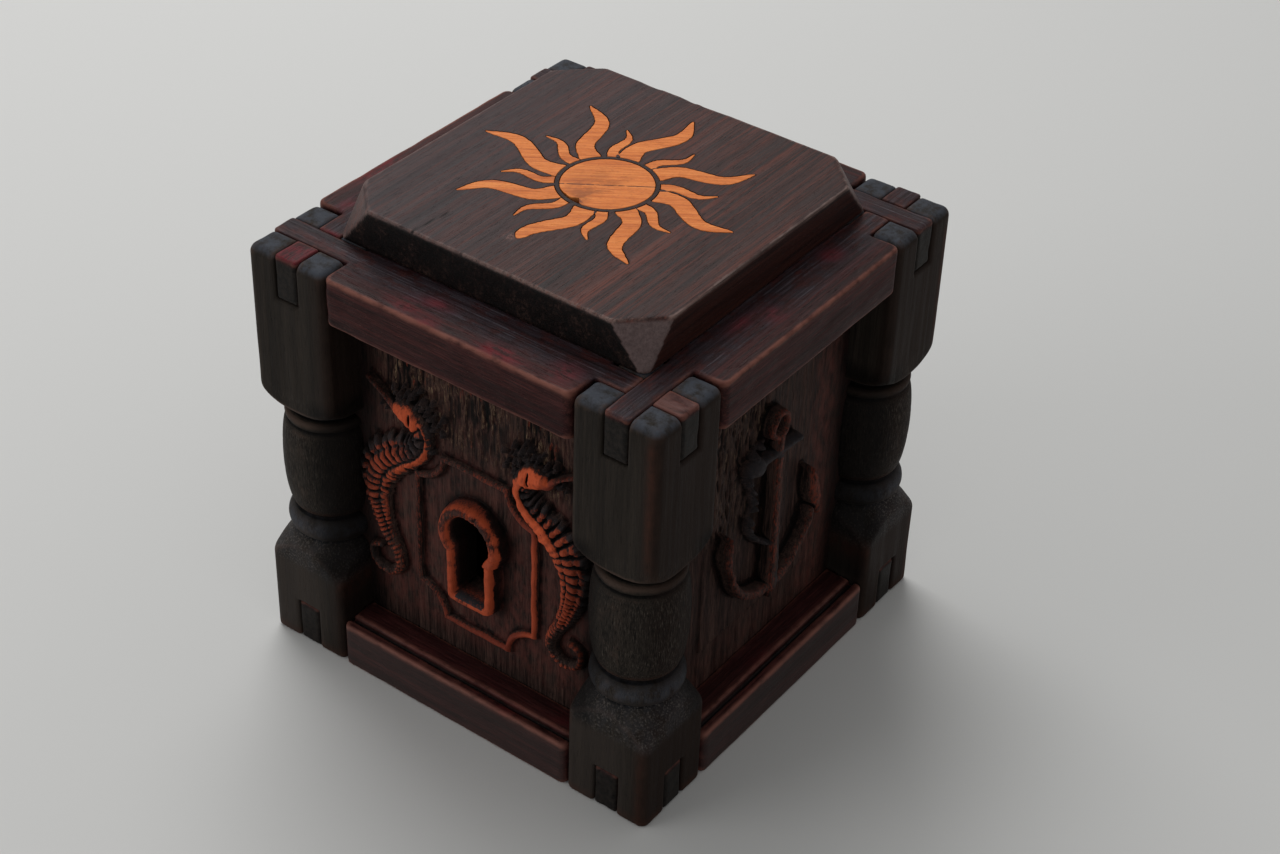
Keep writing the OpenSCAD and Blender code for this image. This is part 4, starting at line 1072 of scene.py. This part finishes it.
def lid_masks(p):
    x, y, z = p.T
    below = POST_H + LID_T - z
    clipped = np.abs(x) + np.abs(y) > 2 * LID_HALF - CLIP_TOP - 0.3 + below * 0.79
    on_side = step(0.25, 0.7, below) * (np.maximum(np.abs(x), np.abs(y)) > LID_HALF - 0.5) * ~clipped
    across = np.abs(y) > np.abs(x)
    # facets at the front and back corners get the full painted sheen
    lit = np.where((x > 0) == (y < 0), 1.0, 0.4)
    crack_x = -17.9 + (y + 36.9) / 9.5
    return {
        "end": on_side * across,
        "side": on_side * ~across,
        "facet_sheen": step(0.3, 0.8, below) * clipped * lit,
        # painted slate sheen on the left of the top
        "cool": step(20, -34, x) * (below < 0.5),
        "crack": hill(x, crack_x, 0.2) * (1 - step(-28.5, -26.5, y)) * (below < 0.4),
        "rim": hill(np.hypot(x, y), SUN_R + 0.55, 0.4) * (below < 0.3),
        "smear": hill(np.hypot(x + 2.6, y + 27), 0, 0.9) * (below < 0.3),
    }


# How far a ray's middle line bends aside and how wide the ray is, at distances from the middle
LONG_SWING = [
    (10, 2.3), (12, 3.0), (15, 3.1), (18, 1.2), (20.4, -0.3), (23, -1.5), (25.5, -1.3), (28, -0.4),
    (30.2, 0.5)]
LONG_WIDTH = [
    (10, 4.7), (12, 4.1), (15, 3.8), (18, 3.7), (21, 3.4), (24, 2.9), (26.5, 2.2), (28.5, 1.3),
    (30.2, 0.35)]
SHORT_SWING = [
    (10, 0.9), (11.6, 1.5), (13.4, 1.3), (15, 0.4), (17, -0.6), (18.6, -0.7), (20.2, -0.1), (21.4, 0.5)]
SHORT_WIDTH = [(10, 2.5), (12, 2.2), (14, 2.1), (16, 1.9), (18, 1.4), (19.8, 0.8), (21.4, 0.3)]
RAY_ROOT = 10.5
# How far each long ray leans from its eighth of the circle, in degrees, and its reach in mm
LONG_RAYS = [
    (1.4, 28.7), (0.5, 28.9), (1.6, 30.0), (-1.8, 30.4), (-2.0, 30.9), (-2.0, 29.0), (0.0, 30.0),
    (-0.8, 28.4)]
BROKEN_RAY, BROKEN_END = 6, 26.0
SHORT_LEAN = 25.5


def ray(swing, width, angle, reach, margin, rng, broken=None):
    """Outline of one wavy ray, whose root follows the disc. A broken ray ends early and blunt."""
    first, last = swing[0][0], swing[-1][0]
    stretch = (reach - RAY_ROOT) / (last - RAY_ROOT)
    stop = broken or last
    radii = np.linspace(first, stop, 34)
    bend = np.interp(radii, *np.array(swing).T)
    bend = np.convolve(np.pad(bend, 3, mode="edge"), np.array([1, 2, 3, 4, 3, 2, 1]) / 16, mode="valid")
    half = np.interp(radii, *np.array(width).T) / 2 * rng.uniform(0.94, 1.06)
    if broken:
        half = half * np.sqrt(np.clip((stop + 0.3 - radii) / 1.6, 0.04, 1))
    half = half + rng.uniform(-0.07, 0.07, len(half)) * (half > 0.5) + margin
    line = np.stack([RAY_ROOT + (radii - first) * stretch, bend], axis=1)
    ahead = np.gradient(line, axis=0)
    aside = np.stack([-ahead[:, 1], ahead[:, 0]], axis=1)
    aside *= (half / np.linalg.norm(aside, axis=1))[:, None]
    root = RAY_ROOT - margin
    left, right = (side[np.hypot(*side.T) > root + 0.05] for side in (line + aside, line - aside))
    arc = np.linspace(math.atan2(left[0][1], left[0][0]), math.atan2(right[0][1], right[0][0]), 8)
    tip = line[-1] + ahead[-1] / np.linalg.norm(ahead[-1]) * half[-1] * 0.7
    outline = np.array([*right, tip, *left[::-1], *((root * math.cos(a), root * math.sin(a)) for a in arc)])
    c, s = math.cos(angle), math.sin(angle)
    return outline @ np.array([[c, s], [-s, c]])


def sun_shapes(margin):
    """Outlines of the disc, the long rays and the short rays, grown by a margin."""
    rng = np.random.default_rng(77)
    long_rays, short_rays = [], []
    for k, (lean, reach) in enumerate(LONG_RAYS):
        angle, broken = math.radians(45 * k + lean), BROKEN_END if k == BROKEN_RAY else None
        long_rays.append(ray(LONG_SWING, LONG_WIDTH, angle, reach, margin, rng, broken))
    for k in range(8):
        angle, reach = math.radians(45 * k + SHORT_LEAN), rng.uniform(20.2, 21.6)
        short_rays.append(ray(SHORT_SWING, SHORT_WIDTH, angle, reach, margin, rng))
    turn = np.linspace(0, 2 * np.pi, 97)[:-1]
    r = SUN_R + margin + 0.04 * np.sin(5 * turn) + rng.uniform(-0.04, 0.04, len(turn))
    if not margin:
        r = r - 1.5 * hill(turn, math.radians(262), 0.11) - 0.4 * hill(turn, math.radians(246), 0.2)
    return np.stack([r * np.cos(turn), r * np.sin(turn)], axis=1), long_rays, short_rays


def prism(name, outlines, low, high, ease=0.0):
    """Flat pieces from outlines, with eased top edges."""
    points, faces, n = [], [], 0
    for outline in outlines:
        area = np.sum(outline[:, 0] * np.roll(outline[:, 1], -1) - outline[:, 1] * np.roll(outline[:, 0], -1))
        if area < 0:
            outline = outline[::-1]
        m = len(outline)
        rows = [(outline, low), (outline, high - ease)]
        if ease:
            run = np.roll(outline, -1, axis=0) - np.roll(outline, 1, axis=0)
            inward = np.stack([-run[:, 1], run[:, 0]], axis=1)
            inward /= np.maximum(np.linalg.norm(run, axis=1), 1e-6)[:, None]
            rows.append((outline + inward * ease, high))
        points += [np.column_stack([flat, np.full(m, z)]) for flat, z in rows]
        for row in range(len(rows) - 1):
            a, b = n + row * m, n + (row + 1) * m
            faces += [[a + i, a + (i + 1) % m, b + (i + 1) % m, b + i] for i in range(m)]
        top = n + (len(rows) - 1) * m
        faces += [list(range(top, top + m)), list(range(n + m - 1, n - 1, -1))]
        n += len(rows) * m
    mesh = bpy.data.meshes.new(name)
    mesh.from_pydata((np.concatenate(points) * MM).tolist(), [], faces)
    return placed(name, mesh)


def coordinates(ob):
    """Places of an object's vertices in mm."""
    flat = np.zeros(len(ob.data.vertices) * 3, np.float32)
    ob.data.vertices.foreach_get("co", flat)
    return flat.reshape(-1, 3) / MM


def lid():
    """The lid board with a recess for the sun, and the sun in it."""
    top = POST_H + LID_T
    low, high = (-LID_HALF, -LID_HALF, POST_H), (LID_HALF, LID_HALF, top)
    board = carve("look_lid_board", lid_field, low, high, 0.45, (1, 0, 2), 0, 60)
    disc, long_rays, short_rays = sun_shapes(0.17)
    cutter = prism("cutter", [disc, *long_rays, *short_rays], top - INLAY_T, top + 2)
    cut = board.modifiers.new("recess", "BOOLEAN")
    cut.object = cutter
    cut.operation = "DIFFERENCE"
    cut.solver = "MANIFOLD"
    shaped = bpy.data.meshes.new_from_object(board.evaluated_get(bpy.context.evaluated_depsgraph_get()))
    board.modifiers.clear()
    board.data = shaped
    bpy.data.objects.remove(cutter)
    for name, values in lid_masks(coordinates(board)).items():
        put(board, name, values)
    shaped.set_sharp_from_angle(angle=math.radians(50))
    dress(board, "lid", "lid_wood", "lid_board")

    disc, long_rays, short_rays = sun_shapes(0.0)
    sun = (("sun_disc", [disc]), ("sun_long_rays", long_rays), ("sun_short_rays", short_rays))
    c, s = math.cos(math.radians(35)), math.sin(math.radians(35))
    for number, (node, outlines) in enumerate(sun):
        ob = prism("look_" + node, outlines, top - INLAY_T, top - 0.03, 0.07)
        x, y, z = coordinates(ob).T
        put(ob, "wood", np.column_stack([x * c + y * s, y * c - x * s, z]) + 40 * number)
        put(ob, "sharp", np.zeros(len(x)))
        put(ob, "burnt", hill(np.hypot(x + 0.4, y + 8.3), 0, 1.2))
        dress(ob, "lid", "inlay_wood", node)


# ---------------------------------------------------------------- boards and lock
LUG_X, LUG_W, TRAVEL, GAP = -4.5, 3.0, 7.0, 0.1
GUIDE_LEFT, GUIDE_RIGHT, GUIDE_W = LUG_X - GAP, LUG_X + LUG_W + TRAVEL + GAP, 6.0
BAR_LOW = KEY_HEAD + KEY_R + 1.5
PAST = 5  # how far a cut that goes right through a piece reaches past it


def mm_box(node):
    low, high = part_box(node)
    return tuple(v / MM for v in low), tuple(v / MM for v in high)


def block_piece(node, body, slot, grain, cell, ease, seed, shape=None):
    """A board or block with eased edges, from its solid's own box. shape gets the distance so
    far, the point, and the corners that a cut right through the piece reaches."""
    low, high = mm_box(node)
    sizes = [18 if axis == grain[0] else 6 for axis in range(3)]

    def field(x, y, z):
        d = soft_box(x, y, z, low, high, ease)
        if shape:
            d = shape(d, x, y, z, [v - PAST for v in low], [v + PAST for v in high])
        return d + np.maximum(waves((x, y, z), sizes, seed + 7, 0.05), -0.01) + 0.01

    dress(carve("look_" + node, field, low, high, cell, grain, 0, seed, 0.5), body, slot, node)


def minus(d, x, y, z, low, high, r=0.15):
    return both(d, -box3(x, y, z, low, high), r)


def inside():
    """The boards inside the box and the lock behind the keyhole."""
    bolt_low, bolt_high = mm_box("lock_bolt")
    pin_low, pin_high = mm_box("gravity_pin")
    pegs_low, pegs_high = mm_box("guide_pegs")
    pin_x, pin_y = (pin_low[0] + pin_high[0]) / 2, (pin_low[1] + pin_high[1]) / 2
    bar_high = bolt_high[2]

    def hasp(d, x, y, z, low, high):
        slot_high = (high[0], bolt_high[1] + 0.1, bar_high + 0.5)
        return minus(d, x, y, z, (low[0], low[1], BAR_LOW - 0.5), slot_high, 0.25)

    def bottom(d, x, y, z, low, high):
        return both(d, np.minimum(np.abs(x), np.abs(y)) - INNER + 0.2, 0.2)

    def board(d, x, y, z, low, high):
        half = KEY_R + 2
        return minus(d, x, y, z, (-half, low[1], low[2]), (half, high[1], KEY_HEAD + KEY_R + 0.4))

    def guides(d, x, y, z, low, high):
        d = minus(d, x, y, z, (GUIDE_LEFT, low[1], low[2]), (GUIDE_RIGHT, high[1], high[2]), 0.3)
        slot_high = (high[0], bolt_high[1] + GAP, bar_high + GAP)
        return minus(d, x, y, z, (low[0], low[1], BAR_LOW - GAP), slot_high)

    def pin_bore(d, x, y, z, low, high):
        return both(d, -np.maximum(np.hypot(x - pin_x, y - pin_y) - 1.6, pin_low[2] - z), 0.2)

    def bolt(d, x, y, z, low, high):
        lug = soft_box(x, y, z, (LUG_X, *bolt_low[1:]), (LUG_X + LUG_W, bolt_high[1], BAR_LOW + 1), 0.3)
        bar = soft_box(x, y, z, (*bolt_low[:2], BAR_LOW), bolt_high, 0.3)
        d = either(bar, lug, 0.3)
        for at in (pin_x, pin_x - TRAVEL):
            d = minus(d, x, y, z, (at - 1.8, low[1], BAR_LOW - PAST), (at + 1.8, high[1], BAR_LOW + 3.8))
        return d

    block_piece("lid_plug", "lid", "inner_wood", (1, 0, 2), 0.5, 0.6, 1)
    block_piece("lid_hasp", "lid", "lock_wood", (2, 0, 1), 0.25, 0.4, 2, hasp)
    block_piece("bottom_board", "box", "inner_wood", (0, 1, 2), 0.5, 0.4, 3, bottom)
    block_piece("lock_board", "box", "inner_wood", (0, 1, 2), 0.3, 0.4, 4, board)
    block_piece("bolt_guides", "box", "lock_wood", (2, 0, 1), 0.25, 0.4, 5, guides)
    block_piece("pin_block", "box", "lock_wood", (2, 0, 1), 0.25, 0.4, 6, pin_bore)
    block_piece("lock_bolt", "bolt", "lock_wood", (0, 1, 2), 0.25, 0.3, 7, bolt)

    def peg_field(x, y, z):
        middles = [(px, pz) for px in (GUIDE_LEFT - GUIDE_W / 2, GUIDE_RIGHT + GUIDE_W / 2)
                   for pz in (BAR_LOW - 1.5, bar_high + 1.5)]
        rods = np.minimum.reduce([np.hypot(x - px, z - pz) - 0.7 for px, pz in middles])
        return both(rods, between(y, pegs_low[1], pegs_high[1]), 0.15)

    def pin_field(x, y, z):
        return both(np.hypot(x - pin_x, y - pin_y) - 1.49, between(z, pin_low[2], pin_high[2]), 0.35)

    pegs = carve("look_guide_pegs", peg_field, pegs_low, pegs_high, 0.12, (1, 0, 2), 0, 8, 0.3)
    dress(pegs, "box", "pale_wood", "guide_pegs")
    pin = carve("look_gravity_pin", pin_field, pin_low, pin_high, 0.15, (2, 0, 1), 0, 9, 0.3)
    dress(pin, "pin", "pale_wood", "gravity_pin")


# ---------------------------------------------------------------- stage
def backdrop():
    """A white sky for the light, and a grey one where it is seen directly or mirrored."""
    world = bpy.data.worlds.new("world")
    bpy.context.scene.world = world
    k = Look(world)

    def sky(colour, strength):
        n = k.node("ShaderNodeBackground")
        n.inputs["Color"].default_value = colour
        n.inputs["Strength"].default_value = strength
        return n.outputs[0]

    path = k.node("ShaderNodeLightPath").outputs
    seen = k.math("MAXIMUM", path["Is Camera Ray"], path["Is Glossy Ray"])
    seen = k.math("MAXIMUM", seen, path["Is Transmission Ray"])
    choose = k.node("ShaderNodeMixShader")
    for socket, source in zip(choose.inputs, (seen, sky((1, 1, 1, 1), 0.33), sky(srgb(206, 206, 204), 1.0))):
        k.feed(socket, source)
    k.feed(k.node("ShaderNodeOutputWorld").inputs["Surface"], choose.outputs[0])


def lamp(name, place, size, power):
    """A square lamp that faces the box."""
    data = bpy.data.lights.new(name, "AREA")
    data.shape = "SQUARE"
    data.size = size
    data.energy = power
    ob = bpy.data.objects.new(name, data)
    bpy.context.scene.collection.objects.link(ob)
    ob.location = place
    away = np.array(place) - np.array((0, 0, 0.05))
    tilt = math.acos(away[2] / np.linalg.norm(away))
    ob.rotation_euler = (tilt, 0, math.atan2(away[1], away[0]) + math.pi / 2)


def stage():
    """The floor, the sky, two lamps and the camera that matches the photograph."""
    corners = [(-6.0, -6.0, 0), (6.0, -6.0, 0), (6.0, 6.0, 0), (-6.0, 6.0, 0)]
    mesh = bpy.data.meshes.new("floor")
    mesh.from_pydata(corners, [], [(0, 1, 2, 3)])
    mesh.materials.append(Look(bpy.data.materials.new("stage_floor")).finish(srgb(212, 212, 210), 0.7, 0.3))
    placed("floor", mesh)
    backdrop()
    lamp("key", (-0.5, 0.35, 0.85), 0.7, 6.0)
    lamp("fill", (-0.55, -0.8, 0.4), 0.6, 2.0)

    data = bpy.data.cameras.new("camera")
    data.sensor_width = 36
    data.lens = 67.05
    data.clip_start = 0.01
    camera = bpy.data.objects.new("camera", data)
    camera.location = (0.239783, -0.322249, 0.349231)
    camera.rotation_euler = [math.radians(a) for a in (53.137, -1.6652, 36.7479)]
    bpy.context.scene.collection.objects.link(camera)
    bpy.context.scene.camera = camera
    bpy.context.scene.view_settings.view_transform = "Standard"


stage()
for corner in range(4):
    post(corner)
for side in SIDES:
    rail(side, True)
    rail(side, False)
relief("front_panel", 0, 110, front_drawing, keyhole)
relief("right_panel", 1, 120, anchor_drawing)
relief("back_panel", 2, 130, plain_drawing(31), cell=0.4)
relief("left_panel", 3, 140, plain_drawing(33), cell=0.4)
lid()
inside()
